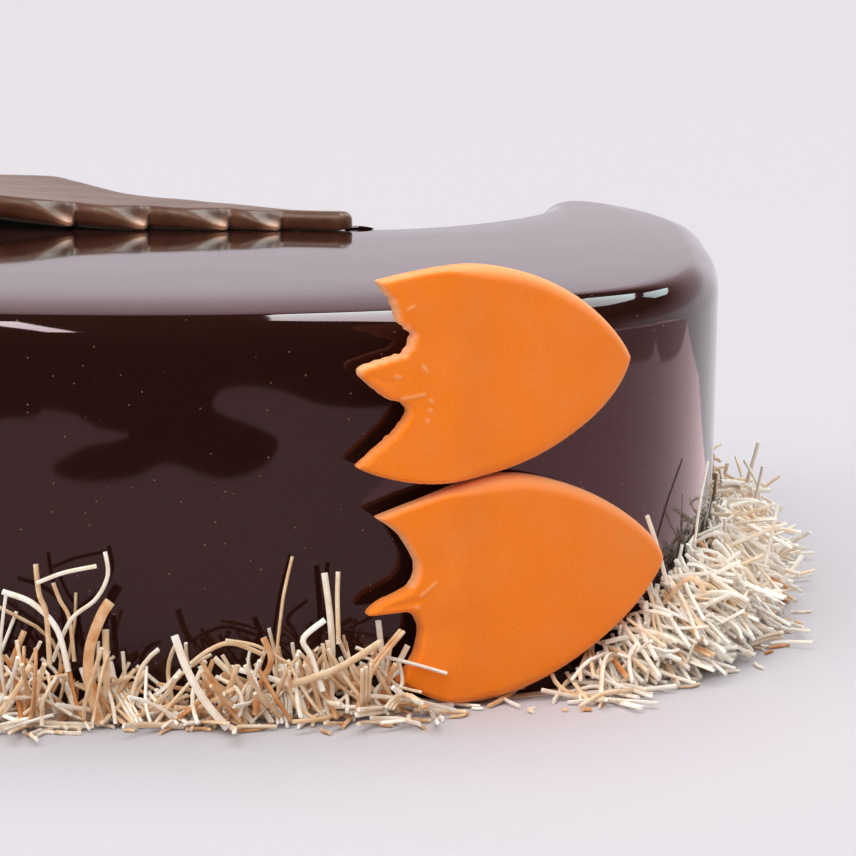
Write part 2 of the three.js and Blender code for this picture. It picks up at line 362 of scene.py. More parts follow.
class EggCakePastry(bpy.types.PropertyGroup):
    """Nest of shredded pastry."""

    width: size("Strand width", "Usual width of a strand", 0.66)
    thickness: size("Strand thickness", "Usual thickness of a strand", 0.54)
    shortest: size("Length", "Length of the shorter strands", 5.2)
    density: bpy.props.FloatProperty(
        name="Density", description="Strands, against the usual nest", default=1.0, min=0.1
    )
    ribbons: bpy.props.FloatProperty(
        name="Ribbons", description="Share of the strands that stick together", default=0.08,
        min=0.0, max=1.0,
    )
    pale: colour("Pale", "Colour of the pale strands", "fff9ee")
    golden: colour("Golden", "Colour of most strands", "edcca3")
    toasted: colour("Toasted", "Colour of the most toasted strands", "c98042")


class EggCakeStage(bpy.types.PropertyGroup):
    """Camera, floor and light."""

    lens: bpy.props.FloatProperty(
        name="Lens", description="Focal length in millimetres", default=143.0, min=10.0
    )
    pitch: bpy.props.FloatProperty(
        name="Pitch", description="How far the camera looks down", default=math.radians(8.97),
        subtype="ANGLE",
    )
    floor: colour("Floor", "Colour of the studio floor", "c0bcc1")
    backdrop: colour("Backdrop", "Colour of the backdrop beyond the floor", "ece8ee")
    key: bpy.props.FloatProperty(
        name="Key", description="Strength of the light from the near left", default=1.9, min=0.0
    )
    top: bpy.props.FloatProperty(
        name="Top", description="Strength of the light from above", default=2.6, min=0.0
    )
    fill: bpy.props.FloatProperty(
        name="Fill", description="Strength of the even fill light", default=0.35, min=0.0
    )


# ---- Materials ------------------------------------------------------------------------------


def new_material(name):
    """An empty material and its node tree, which the caller fills."""
    material = bpy.data.materials.new(name)
    material.use_nodes = True
    material.node_tree.nodes.clear()
    return material, material.node_tree


def close_material(tree, shader):
    """Joins the finished shader to the material's output."""
    add_node(tree, "ShaderNodeOutputMaterial", inputs={"Surface": shader.outputs[0]})


def uneven_skin(tree, place, layers):
    """Layers of unevenness, each lifting the one before. Returns their noises and normals.

    A layer is the size of its grain, then its detail, roughness, strength and height.
    """
    noises, normal = [], {}
    for grain, detail, roughness, strength, height in layers:
        made = add_node(
            tree, "ShaderNodeTexNoise",
            inputs={"Vector": place, "Scale": 1 / grain, "Detail": detail, "Roughness": roughness},
        )
        noises.append(made.outputs["Fac"])
        skin = add_node(
            tree, "ShaderNodeBump",
            inputs={"Strength": strength, "Distance": height, "Height": noises[-1], **normal},
        )
        normal = {"Normal": skin.outputs["Normal"]}
    return noises, normal["Normal"]


def clouds(tree, uneven, among, least, most):
    """A share of another colour, in clouds: from least to most among the noise's values."""
    low, high = among
    made = add_node(
        tree, "ShaderNodeMapRange", {"clamp": True},
        {"Value": uneven, "From Min": low, "From Max": high, "To Min": least, "To Max": most},
    )
    return made.outputs["Result"]


def mirror_glaze(settings):
    """Sugar-syrup and gelatine mirror glaze, poured: near-black and as smooth as glass.

    Strong syrup has an index of about 1.47, and its cocoa warms what it mirrors head on.
    What the eye gets is almost all reflection, over a body colour seen in the dark parts.
    """
    material, tree = new_material("poured_mirror_glaze")
    place = add_node(tree, "ShaderNodeTexCoord").outputs["Object"]
    # Dust and tiny bubbles: dots of about 0.25 mm, one in about 5 mm each way. They are painted
    # pale: partly the dust's own colour, partly a painted highlight of the bubbles.
    cells = add_node(
        tree, "ShaderNodeTexVoronoi", {"feature": "F1"},
        {"Vector": place, "Scale": 1 / (1.6 * MM), "Randomness": 1.0},
    )
    dot = add_node(
        tree, "ShaderNodeMapRange", {"clamp": True},
        {"Value": cells.outputs["Distance"], "From Min": 0.1, "From Max": 0.05},
    )
    chance = add_node(tree, "ShaderNodeSeparateColor", inputs={"Color": cells.outputs["Color"]})
    few = add_node(
        tree, "ShaderNodeMath", {"operation": "GREATER_THAN"}, {0: chance.outputs[0], 1: 0.5}
    )
    dots = add_node(
        tree, "ShaderNodeMath", {"operation": "MULTIPLY"},
        {0: dot.outputs["Result"], 1: few.outputs[0]},
    )
    tint = add_node(
        tree, "ShaderNodeMix", {"data_type": "RGBA"},
        {"Factor": dots.outputs[0], MIX_A: tuple(settings.base), MIX_B: tuple(settings.dust_and_glint)},
    )
    # The skin is not quite level: slow swells some 30 mm long, seen only in reflections.
    _, swells = uneven_skin(tree, place, [(30 * MM, 1.0, 0.4, 1.0, 0.05 * MM)])
    bubbles = add_node(
        tree, "ShaderNodeBump",
        inputs={
            "Strength": 0.2, "Distance": 0.05 * MM, "Height": dots.outputs[0],
            "Normal": swells,
        },
    )
    shader = add_node(
        tree, "ShaderNodeBsdfPrincipled",
        inputs={
            "Base Color": tint.outputs[MIXED], "Roughness": 0.045, "IOR": 1.47,
            "Specular Tint": (1.0, 0.62, 0.65, 1.0), "Normal": bubbles.outputs["Normal"],
        },
    )
    close_material(tree, shader)
    return material


def modelling_chocolate(settings):
    """Chocolate and glucose paste, rolled and cut by hand: satin, paler where it is thin, with a
    painted highlight along its top rims.

    Its cocoa butter gives a soft sheen at a low angle and hides the grain.
    """
    material, tree = new_material("rolled_modelling_chocolate")
    place = add_node(tree, "ShaderNodeTexCoord").outputs["Object"]
    # Paler thin tips, and a painted highlight along the top rims.
    worn = add_node(tree, "ShaderNodeAttribute", {"attribute_name": "worn"})
    # Uneven mixing, in clouds of about 9 mm.
    mixing = add_node(
        tree, "ShaderNodeTexNoise",
        inputs={"Vector": place, "Scale": 1 / (9 * MM), "Detail": 3.0, "Roughness": 0.55},
    )
    share = clouds(tree, mixing.outputs["Fac"], (0.35, 0.75), 0, 0.12)
    total = add_node(
        tree, "ShaderNodeMath", {"operation": "ADD", "use_clamp": True},
        {0: share, 1: worn.outputs["Fac"]},
    )
    tint = add_node(
        tree, "ShaderNodeMix", {"data_type": "RGBA"},
        {"Factor": total.outputs[0], MIX_A: tuple(settings.base), MIX_B: tuple(settings.worn)},
    )
    # Finger and roller marks of about 3 mm, and a grain of 0.35 mm.
    _, grained = uneven_skin(
        tree, place, [(3 * MM, 2.0, 0.5, 0.5, 0.25 * MM), (0.35 * MM, 2.0, 0.6, 0.25, 0.05 * MM)]
    )
    shader = add_node(
        tree, "ShaderNodeBsdfPrincipled",
        inputs={
            "Base Color": tint.outputs[MIXED], "Roughness": 0.36, "IOR": 1.5,
            "Specular Tint": (1.0, 0.85, 0.78, 1.0),
            "Sheen Weight": 1.0, "Sheen Roughness": 0.35, "Sheen Tint": (1.0, 0.8, 0.72, 1.0),
            "Subsurface Weight": 0.08, "Subsurface Radius": (1.0, 0.4, 0.2),
            "Subsurface Scale": 0.6 * MM, "Normal": grained,
        },
    )
    close_material(tree, shader)
    return material


def sugar_paste(settings):
    """Rolled sugar paste: a matt, very fine sugar grain that lets a little light in.

    The ripped bits in the notches and the creases, and the upper rims, are painted paler: a painted
    highlight where crumbs and rims catch the light.
    """
    material, tree = new_material("rolled_sugar_paste")
    place = add_node(tree, "ShaderNodeTexCoord").outputs["Object"]
    # Painted highlight: ripped bits, flecks and upper rims, painted paler.
    torn = add_node(tree, "ShaderNodeAttribute", {"attribute_name": "torn"})
    # Sugar grain, drawn at 0.45 mm, coarser than the real 0.1 mm, so that it shows.
    grains, grained = uneven_skin(tree, place, [(0.45 * MM, 3.0, 0.65, 0.35, 0.08 * MM)])
    # The colour is kneaded in unevenly, over about 6 mm.
    knead = add_node(
        tree, "ShaderNodeTexNoise",
        inputs={"Vector": place, "Scale": 1 / (6 * MM), "Detail": 2.0, "Roughness": 0.5},
    )
    mottle = clouds(tree, grains[0], (0.45, 0.8), 0, 0.1)
    patch = clouds(tree, knead.outputs["Fac"], (0.4, 0.8), 0, 0.06)
    pale = add_node(
        tree, "ShaderNodeMath", {"operation": "ADD"}, {0: mottle, 1: patch}
    )
    total = add_node(
        tree, "ShaderNodeMath", {"operation": "ADD", "use_clamp": True},
        {0: pale.outputs[0], 1: torn.outputs["Fac"]},
    )
    tint = add_node(
        tree, "ShaderNodeMix", {"data_type": "RGBA"},
        {"Factor": total.outputs[0], MIX_A: tuple(settings.base), MIX_B: tuple(settings.torn)},
    )
    shader = add_node(
        tree, "ShaderNodeBsdfPrincipled",
        inputs={
            "Base Color": tint.outputs[MIXED], "Roughness": 0.6, "IOR": 1.4,
            "Specular IOR Level": 0.25, "Specular Tint": (1.0, 0.7, 0.4, 1.0),
            "Sheen Weight": 0.45, "Sheen Roughness": 0.45, "Sheen Tint": (1.0, 0.72, 0.45, 1.0),
            "Subsurface Weight": 0.15, "Subsurface Radius": (1.0, 0.35, 0.12),
            "Subsurface Scale": 1.2 * MM, "Normal": grained,
        },
    )
    close_material(tree, shader)
    return material


def toasted_pastry(settings):
    """Shredded filo pastry, baked dry: matt, cream to toffee from strand to strand."""
    material, tree = new_material("toasted_shredded_pastry")
    place = add_node(tree, "ShaderNodeTexCoord").outputs["Object"]
    tone = add_node(tree, "ShaderNodeAttribute", {"attribute_name": "tone"})
    # Blisters and browning along a strand, in patches of about 2 mm.
    patch = add_node(
        tree, "ShaderNodeTexNoise",
        inputs={"Vector": place, "Scale": 1 / (2 * MM), "Detail": 2.0, "Roughness": 0.6},
    )
    shift = clouds(tree, patch.outputs["Fac"], (0.3, 0.7), -0.16, 0.16)
    total = add_node(
        tree, "ShaderNodeMath", {"operation": "ADD", "use_clamp": True},
        {0: tone.outputs["Fac"], 1: shift},
    )
    tint = ramp_stops(
        add_node(tree, "ShaderNodeValToRGB", inputs={"Fac": total.outputs[0]}),
        [(0.0, settings.pale), (0.45, settings.golden), (1.0, settings.toasted)],
    )
    # The dry crumb of the surface, at about 0.3 mm.
    _, crumbly = uneven_skin(tree, place, [(0.3 * MM, 2.0, 0.6, 0.4, 0.08 * MM)])
    shader = add_node(
        tree, "ShaderNodeBsdfPrincipled",
        inputs={
            "Base Color": tint.outputs["Color"], "Roughness": 0.6, "IOR": 1.45,
            "Normal": crumbly,
        },
    )
    close_material(tree, shader)
    return material


def studio_paper(settings):
    """Matt pale paper of the studio floor."""
    material, tree = new_material("studio_paper")
    shader = add_node(
        tree, "ShaderNodeBsdfPrincipled",
        inputs={"Base Color": tuple(settings.floor), "Roughness": 0.9, "Specular IOR Level": 0.1},
    )
    close_material(tree, shader)
    return material


# ---- Glazed cake -------------------------------------------------------------------------------

FOOT_CHAMFER = 0.6 * MM  # where the glaze turns in under the wall
SHOULDER_STEPS = 18
SHOULDER_BREAK = math.radians(60)  # the shoulder turns in faster from here
SHOULDER_TURN = math.radians(85)  # where the shoulder ends and the cambered top begins
CAMBER = 0.62 * MM  # how far the top falls from its level middle to the near shoulder
CAMBER_LEAST = 0.1 * MM  # the same at the far side
CAMBER_FADE = 8 * MM
CAMBER_FACING = (0.8, 0.15)  # it grows from where the wall faces the near side by this, over
WALL_ROWS = (0.25, 0.5, 0.75, 1)  # as shares of the wall's height
TOP_ROWS = (2, 4.5, 8, 12, 17, 24, 34)  # from the shoulder inwards, in millimetres
MIDDLE_SHARE = 0.85  # share of the room inwards that the rows of the top may use
MIDDLE_MARGIN = 0.5 * MM
ROOM_STEP = 1 * MM  # the room inwards is felt out in steps of this
ROOM_FURTHEST = 60 * MM
ROOM_SLACK = 0.2 * MM
ROOM_WINDOW = 6  # columns each way over which the room inwards is smoothed
SWING_MIDDLE = 0.4  # where on the lip the glaze swings most, from its top
SWING_WAVES = ((0.6, 9, 0.7), (0.4, 22, 2.1))  # share, waves all round, and start
RIDGE_FROM_NOSE = (3.4 * MM, 2.2 * MM)  # where its middle lies from the nose's
RIDGE_SIZE = (2.6 * MM, 0.6 * MM, 0.42 * MM)  # half sizes of the smear of glaze by the nose
RIDGE_BEND = 0.5 * MM
RIDGE_TAPER = (0.4, 0.3)  # how much narrower and lower it is at its far end
RIDGE_FACES = (20, 10)


def room_inwards(line, outward):
    """How far in from each point of the line one can go before another part is nearer."""
    room = np.full(len(line), ROOM_STEP)
    clear = np.ones(len(line), bool)
    for reach in np.arange(ROOM_STEP, ROOM_FURTHEST, ROOM_STEP):
        for i in np.flatnonzero(clear):
            x, y = line[i] - outward[i] * reach
            clear[i] = wall.tree.find((x, y, 0))[2] > reach - ROOM_SLACK
        room[clear] = reach
    # The least room nearby, then its average, so that it never exceeds the local room.
    near = ROOM_WINDOW
    around = np.concatenate([room[-2 * near :], room, room[: 2 * near]])
    spread = 2 * near + 1
    least = np.array([around[i : i + spread].min() for i in range(len(room) + 2 * near)])
    return np.convolve(least, np.full(spread, 1 / spread), "valid")


def glaze_rows(settings, span, camber):
    """Height and distance in from the wall's line of each ring of the cake, upwards."""
    lip = settings.shoulder
    wall_top = CAKE_TOP - lip
    rows = [(0, WALL_DRAFT + FOOT_CHAMFER), (FOOT_CHAMFER, WALL_DRAFT)]
    rows += [(wall_top * share, WALL_DRAFT * (1 - share)) for share in WALL_ROWS]
    # Two arcs: the lower one as wide as the lip, the upper one what is left of the height.
    low_sin, low_cos = math.sin(SHOULDER_BREAK), math.cos(SHOULDER_BREAK)
    tight = (lip - camber - lip * low_sin) / (math.sin(SHOULDER_TURN) - low_sin)
    for k in range(1, SHOULDER_STEPS + 1):
        angle = k / SHOULDER_STEPS * SHOULDER_TURN
        low, high = min(angle, SHOULDER_BREAK), max(angle, SHOULDER_BREAK)
        rise = lip * math.sin(low) + tight * (math.sin(high) - low_sin)
        inset = lip * (1 - math.cos(low)) + tight * (low_cos - math.cos(high))
        rows.append((wall_top + rise, inset))
    for mark in TOP_ROWS:
        share = mark / TOP_ROWS[-1]
        fall = camber * np.exp(-share * span / CAMBER_FADE) * (1 - share**2) ** 2
        rows.append((CAKE_TOP - fall, inset + share * span))
    rows.append((CAKE_TOP, inset + span + MIDDLE_MARGIN))
    return rows


def glazed_body(settings):
    """The poured cake: a footing, a drafted wall, a round shoulder and a cambered top."""
    columns = round(wall.length / settings.column)
    places = np.arange(columns) / columns * wall.length
    line, outward = wall.at(places)
    room = room_inwards(line, outward)
    span = np.clip(MIDDLE_SHARE * room - settings.shoulder, MIDDLE_MARGIN, TOP_ROWS[-1] * MM)
    facing, over = CAMBER_FACING
    nearness = np.clip((-outward[:, 1] - facing) / over, 0, 1)
    camber = CAMBER_LEAST + (CAMBER - CAMBER_LEAST) * nearness

    cake = bmesh.new()
    column = cake.verts.layers.int.new("column")
    cap = cake.faces.new([cake.verts.new((x, y, 0)) for x, y in line])
    for i, corner in enumerate(cap.verts):
        corner[column] = i
    for row, (height, inset) in enumerate(glaze_rows(settings, span, camber)):
        if row:
            cap = extrude_cap(cake, cap)
        height = np.broadcast_to(height, columns)
        inset = np.broadcast_to(inset, columns)
        for corner in cap.verts:
            i = corner[column]
            swing = shoulder_swing(places[i], height[i]) * settings.sweep
            corner.co = (*(line[i] - outward[i] * (inset[i] - swing)), height[i])
    bmesh.ops.recalc_face_normals(cake, faces=cake.faces)
    bmesh.ops.triangulate(cake, faces=[f for f in cake.faces if len(f.verts) > 4])
    return new_piece(
        "cake_glazed", cake, mirror_glaze(settings), ["cake_body"]
    )


def shoulder_swing(place, height):
    """How far the glaze stands out at the shoulder: it ran down in slow waves."""
    share = 1 - abs(height - (CAKE_TOP - GLAZE_LIP * SWING_MIDDLE)) / GLAZE_LIP
    turn = 2 * math.pi * place / wall.length
    wave = sum(part * math.sin(waves * turn + start) for part, waves, start in SWING_WAVES)
    return max(share, 0) * wave


def glaze_ridge(settings):
    """A thin smear of glaze, pushed up where the wing's nose was laid down."""
    shape = bmesh.new()
    around, upwards = RIDGE_FACES
    bmesh.ops.create_uvsphere(shape, u_segments=around, v_segments=upwards, radius=1)
    middle = np.array(WING_NOSE) * MM + wing_shift(wing_outline()) + RIDGE_FROM_NOSE
    for v in shape.verts:
        x, y, z = v.co
        bend = RIDGE_BEND * math.cos(2 * x)
        v.co = (
            middle[0] + x * RIDGE_SIZE[0],
            middle[1] + y * RIDGE_SIZE[1] * (1 - RIDGE_TAPER[0] * x) + bend,
            CAKE_TOP + z * RIDGE_SIZE[2] * (1 - RIDGE_TAPER[1] * x),
        )
    return new_piece("glaze_ridge", shape, mirror_glaze(settings))


# ---- Wing ------------------------------------------------------------------------------------

WING_TIPS = [-43, -29, -15, -0.6, 12.2, 26.2, 35.2]  # along the cake, in millimetres
WING_NEAR = 19
WING_FAR = 69
WING_SCALLOP = 2.6  # how far each feather stands in front of the next
WING_STEP = 0.5  # length of the step between two feathers
WING_BELLY = (0.35, 0.1)  # where a feather is fullest: share of its length and scallop
WING_NOSE = (45.8, 21.5)
WING_NOSE_RADIUS = 2.3
WING_ROOT = (-58, 30)
WING_ROOT_TURN = 4
WING_FAR_EDGE = [
    (39, 25.5), (28.5, 31), (21, 34.5), (13.8, 38), (5.5, 46), (-2, 58), (-8.5, 66.5),
    (-20, WING_FAR), (-38, 67.5), (-54, 57), (-61.5, 43),
]
WING_TIP_REACH = (4.2, 0.5)  # a feather thins over this before its tip, and past it
WING_TIP_DEPTH = 1.9  # how far back from the near edge it thins
WING_TIP_THINNING = 0.66
WING_POINTS = {"feather": 30, "step": 6, "last": 20, "nose": 16, "far": 24}
WING_POINT_GAP = 0.25  # the outline's points are then spaced evenly
WING_FLOOR = CAKE_TOP + 0.02 * MM
WING_NOSE_FROM = 5  # the plate thins from here to its nose
WING_BACK_POWER = 2
WING_WAVE = (0.15 * MM, 9, 1)  # how unevenly it is rolled: height, length and seed
WING_RIM_MOST = (0.45, 0.4)  # share of the plate that the top and under rims may take
WING_UNDER_RIM = 0.8  # the under rim's roundness against the top one's
WING_LIFT = 1.8 * MM  # how far the left feathers stand off the cake
WING_LIFT_FROM = 7.4
WING_LIFT_TO = -12.6
WING_LIFT_MOST = 1.2
WING_LIFT_POWER = 1.3
WING_NOSE_UNDER = (0.35 * MM, 0.6, 3)  # the nose turns up by this, from and over these
PALE_TIP = (0.8, 5)  # how pale a feather's thin tip is, and how fast that fades
# How much the top rim is painted paler: a painted highlight.
WING_RIM_HIGHLIGHT = 0.16


def wing_outline():
    """The wing in plan, in millimetres: scalloped near edge, long nose, rounded far side."""
    notch = WING_NEAR + WING_SCALLOP
    count = WING_POINTS
    last, *others = WING_TIPS
    root_turn = (WING_ROOT[0] + WING_ROOT_TURN, notch)
    parts = [bezier([WING_ROOT, root_turn, (last, WING_NEAR)], count["feather"])]
    for tip in others:
        start = last + WING_STEP
        parts.append(bezier([(last, WING_NEAR), (start, notch)], count["step"]))
        along, back = WING_BELLY
        belly = (start + (tip - start) * along, WING_NEAR + WING_SCALLOP * back)
        parts.append(bezier([(start, notch), belly, (tip, WING_NEAR)], count["feather"]))
        last = tip
    nose_x, nose_y = WING_NOSE
    start = (last + WING_STEP, notch)
    parts.append(bezier([(last, WING_NEAR), start], count["step"]))
    parts.append(bezier([start, (nose_x, nose_y - WING_NOSE_RADIUS)], count["last"]))
    angles = np.linspace(-math.pi / 2, math.pi / 2, count["nose"], endpoint=False)
    round_nose = np.stack([np.cos(angles), np.sin(angles)], 1) * WING_NOSE_RADIUS
    parts.append(round_nose + WING_NOSE)
    above = (nose_x, nose_y + WING_NOSE_RADIUS)
    parts.append(smooth_through([above, *WING_FAR_EDGE, WING_ROOT], count["far"]))
    return evenly_spaced(np.vstack(parts), WING_POINT_GAP)


def wing_shift(outline):
    """How far the outline moves, so that its low corner is the frame's own."""
    return np.array(WING_LOW.xy) - outline.min(0) * MM


def feather_pinch(x, y):
    """How much a feather is thinned at a place: 1 at its tip, nothing on the next one."""
    most = 0
    for tip in WING_TIPS:
        before, past = WING_TIP_REACH
        along = (tip - x) / before if x < tip else (x - tip) / past
        most = max(most, math.exp(-(along**2) - ((y - WING_NEAR) / WING_TIP_DEPTH) ** 4))
    return most


def wing_section(settings, rims, x, y):
    """Underside and top of the wing at a place, above the cake, how pale its tips are, and how near
    its rim it is, for the painted rim highlight.
    """
    back = min(max((y - WING_NEAR) / (WING_FAR - WING_NEAR), 0), 1)
    nose = eased(min(max((x - WING_NOSE_FROM) / (WING_NOSE[0] - WING_NOSE_FROM), 0), 1))
    thick = settings.near + (settings.back - settings.near) * back**WING_BACK_POWER
    thick -= nose * (settings.near - settings.nose)
    pinch = feather_pinch(x, y)
    thick *= 1 - WING_TIP_THINNING * pinch
    wave, wave_length, seed = WING_WAVE
    thick += wave * rough((x, y, 0), wave_length, seed)

    edge = min(rims.find((x, y, 0))[2] * MM / settings.rim, 1)
    corner = 1 - math.sqrt(1 - (1 - edge) ** 2)
    top_rim, under_rim = (min(settings.rim, thick * most) for most in WING_RIM_MOST)
    top = thick - top_rim * corner
    under = under_rim * WING_UNDER_RIM * (1 - nose) * corner

    lift = min(max((WING_LIFT_FROM - x) / (WING_LIFT_FROM - WING_LIFT_TO), 0), WING_LIFT_MOST)
    lift = WING_LIFT * lift**WING_LIFT_POWER * (1 - back)
    turn_up, turn_from, turn_over = WING_NOSE_UNDER
    under += lift
    under += turn_up * max(0, (x - WING_NOSE[0] + turn_from) / turn_over)
    tip_pale, fading = PALE_TIP
    return under, top + lift, tip_pale * pinch**fading, 1 - edge


def wing(settings):
    """The wing: one rolled plate whose feathers thin towards their tips."""
    outline = wing_outline()
    shift = wing_shift(outline)
    rims = finder(outline)
    shape = slab(outline * MM, settings.near, settings.voxel)
    worn = shape.verts.layers.float.new("worn")
    for v in shape.verts:
        x, y, share = v.co.x / MM, v.co.y / MM, v.co.z / settings.near
        under, top, tip_pale, rim = wing_section(settings, rims, x, y)
        height = WING_FLOOR + under + (top - under) * share
        v.co = (x * MM + shift[0], y * MM + shift[1], height)
        # The top rim gets a painted highlight, on top of the pale thin tips.
        v[worn] = min(1, tip_pale + rim * share * WING_RIM_HIGHLIGHT)
    soften(shape)
    return new_piece("wing_chocolate", shape, modelling_chocolate(settings),
                     ["wing"])


# ---- Feet ------------------------------------------------------------------------------------

# Seen from the front, in millimetres: distance along the wall and height above the floor.
# "first" is the distance of the point that lies on the frame node's own left edge.
UPPER_FOOT = dict(
    first=30.1,
    toes=[(32.1, 62.4), (34.3, 59.8), (35.2, 56.8), (37.3, 54.4), (35.6, 51.9), (32, 51),
          (30, 50.2), (29.8, 49.5), (30.3, 48.7), (33.5, 46.1), (36.5, 44.7), (36.4, 42.8),
          (33.8, 40), (29.4, 36.2)],
    crown=(45.5, 64.05), heel=(72.9, 49.3), base=(43, 33.1), toe_rise=(4, 0.8),
    crown_reach=13.6, heel_above=(-3.2, 6.0), heel_below=(-1.5, -7.3), base_reach=14.2,
    hollows=[(40, 54), (39.2, 44.5)], tear=0.5,
    flecks=[((36.4, 58.5), (37.2, 58.9)), ((38.6, 50.4), (39.2, 49.6)),
            ((34.6, 49.1), (35.3, 48.9)), ((35.6, 45.9), (38.9, 46.3)),
            ((39.6, 45.5), (40.0, 45.2)), ((39.5, 44.1), (39.8, 43.9)),
            ((39.1, 42.7), (39.4, 42.4))],
    groove=((31.2, 49.2), (34.2, 48.2)),
)
LOWER_FOOT = dict(
    first=31.7,
    toes=[(32.1, 28.8), (35.2, 26.5), (37.4, 23.2), (38, 21), (36.8, 18.5), (32.5, 16.5),
          (31, 14.8), (34, 14.8), (37, 14.8), (38.5, 12.8), (38.3, 9.8), (36.8, 6.8),
          (35.2, 4.8)],
    crown=(52.4, 33.45), heel=(80.2, 18.5), base=(47.5, 0.5), toe_rise=(5, 1.9),
    crown_reach=10.8, heel_above=(-0.4, 4.2), heel_below=(0.4, -4.0), base_reach=13.9,
    hollows=[(40.8, 21), (41.2, 11.5)], tear=0.1,
    flecks=[((38.3, 17.4), (40.6, 19.2)), ((37.6, 15.9), (38.0, 15.7))],
    groove=((33, 15.9), (38, 16.6)),
)
TOE_LIFT = 2.7 * MM  # how far the toe tips stand off the wall
TOE_LIFT_FROM = 50  # the sole lies on the wall from here to the heel
TOE_LIFT_OVER = 13
TOE_REACH = 5.6 * MM  # the lifted toes' faces are no further out than this
TOE_BEND = 0.35 * MM  # softness of the bend where that reach takes over
SHARP_RIM = 0.6 * MM  # roundness of the rims at the toes, which were cut last
SHARP_OVER = 1.6  # how fast the rims sharpen towards the toes
RIM_LEAST = 0.4  # share of the paste's thickness that is left at its very rim
FOOT_POINTS = {"toe": 40, "end": 60, "side": 120}  # on each curve of the outline
FOOT_POINT_GAP = 0.12 * MM  # the outline's points are then spaced evenly
SOLE_BACK = 6  # how far the sole's curves run level at its crown and its base
LOW_TOE_TURN = (3, -1.6)
TEARS_ALONG = ((1, 0.55, 3), (0.6, 1.3, 4))  # share, size and seed of the torn edge's noises
TEARS_UP = (0.6, 5)
HOLLOW_DEPTH = 0.5 * MM  # pressed by a fingertip between two toes
HOLLOW_REACH = 2.6
HOLLOW_AT_TOES = 0.5  # how much shallower it is where the toes lift
PASTE_WAVE = (0.2 * MM, 9, 2)  # how unevenly it is rolled: height, length and seed
FLECK_REACH, FLECK_HEIGHT = 0.2, 0.16  # half width and height of a torn fleck
GROOVE_REACH, GROOVE_DEPTH = 0.35, 0.18  # the same of the groove beside the middle toe
TEAR_HIGHLIGHT_REACH = 0.35  # the ripped edge is painted paler this far in: a painted highlight where its crumbs catch the light
TEAR_HIGHLIGHT_SHARE = 1.6  # how much painted highlight it gets for how ripped it is
PALE_TEAR, PALE_FLECK, PASTE_RIM_HIGHLIGHT = 0.3, 0.45, 0.5  # how much painted highlight each gets at most


def foot_outline(marks):
    """A webbed foot seen from the front: the leaf-shaped sole, then the three toes."""
    toes = smooth_through(marks["toes"], FOOT_POINTS["toe"])
    top_toe, low_toe, heel = marks["toes"][0], marks["toes"][-1], marks["heel"]
    crown, base = marks["crown"], marks["base"]
    above, below, rise = marks["heel_above"], marks["heel_below"], marks["toe_rise"]

    def beyond(place, away, up=0):
        return (place[0] + away, place[1] + up)

    end, side = FOOT_POINTS["end"], FOOT_POINTS["side"]
    sole = np.vstack([
        bezier([low_toe, beyond(low_toe, *LOW_TOE_TURN), beyond(base, -SOLE_BACK), base], end),
        bezier([base, beyond(base, marks["base_reach"]), beyond(heel, *below), heel], side),
        bezier([heel, beyond(heel, *above), beyond(crown, marks["crown_reach"]), crown], side),
        bezier([crown, beyond(crown, -SOLE_BACK), beyond(top_toe, *rise), top_toe], end),
    ])
    depth = (toes[:, 0] - toes[:, 0].min()) / np.ptp(toes[:, 0])
    for i, (x, y) in enumerate(toes):
        reach = marks["tear"] * depth[i]
        along = sum(part * rough((x, y, 0), *grain) for part, *grain in TEARS_ALONG)
        toes[i] += reach * np.array([along, rough((x, y, 0), *TEARS_UP)])
    return sole, toes


def foot_start(node, marks):
    """Distance along the wall at which a foot's own distances begin."""
    corners = np.array([v.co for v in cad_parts[node].data.vertices])
    return wall.locate(corners)[0].min() - marks["first"] * MM


def beside_line(points, ends):
    """Distance of points from the straight line between two ends."""
    a, b = np.array(ends[0], float), np.array(ends[1], float)
    share = np.clip((points - a) @ (b - a) / ((b - a) @ (b - a)), 0, 1)
    return np.linalg.norm(points - a - share[:, None] * (b - a), axis=1)


def foot_thickness(settings, marks, seen, toe, flecks):
    """How thick a foot is at places seen from the front, before its rims are rounded."""
    # The face follows the paste's thickness up to the toes' reach, with a soft bend between.
    lift = TOE_LIFT * toe
    follows, held = -(settings.thickness + lift) / TOE_BEND, -TOE_REACH / TOE_BEND
    thick = -TOE_BEND * np.logaddexp(follows, held) - lift
    for place in marks["hollows"]:
        away = ((seen - place) ** 2).sum(1)
        press = np.exp(-away / (2 * HOLLOW_REACH**2))
        thick -= HOLLOW_DEPTH * press * (1 - HOLLOW_AT_TOES * toe)
    wave, wave_length, seed = PASTE_WAVE
    thick += wave * np.array([rough((x, y, 0), wave_length, seed) for x, y in seen])
    groove = np.exp(-((beside_line(seen, marks["groove"]) / GROOVE_REACH) ** 2))
    return thick + (FLECK_HEIGHT * flecks - GROOVE_DEPTH * groove) * MM


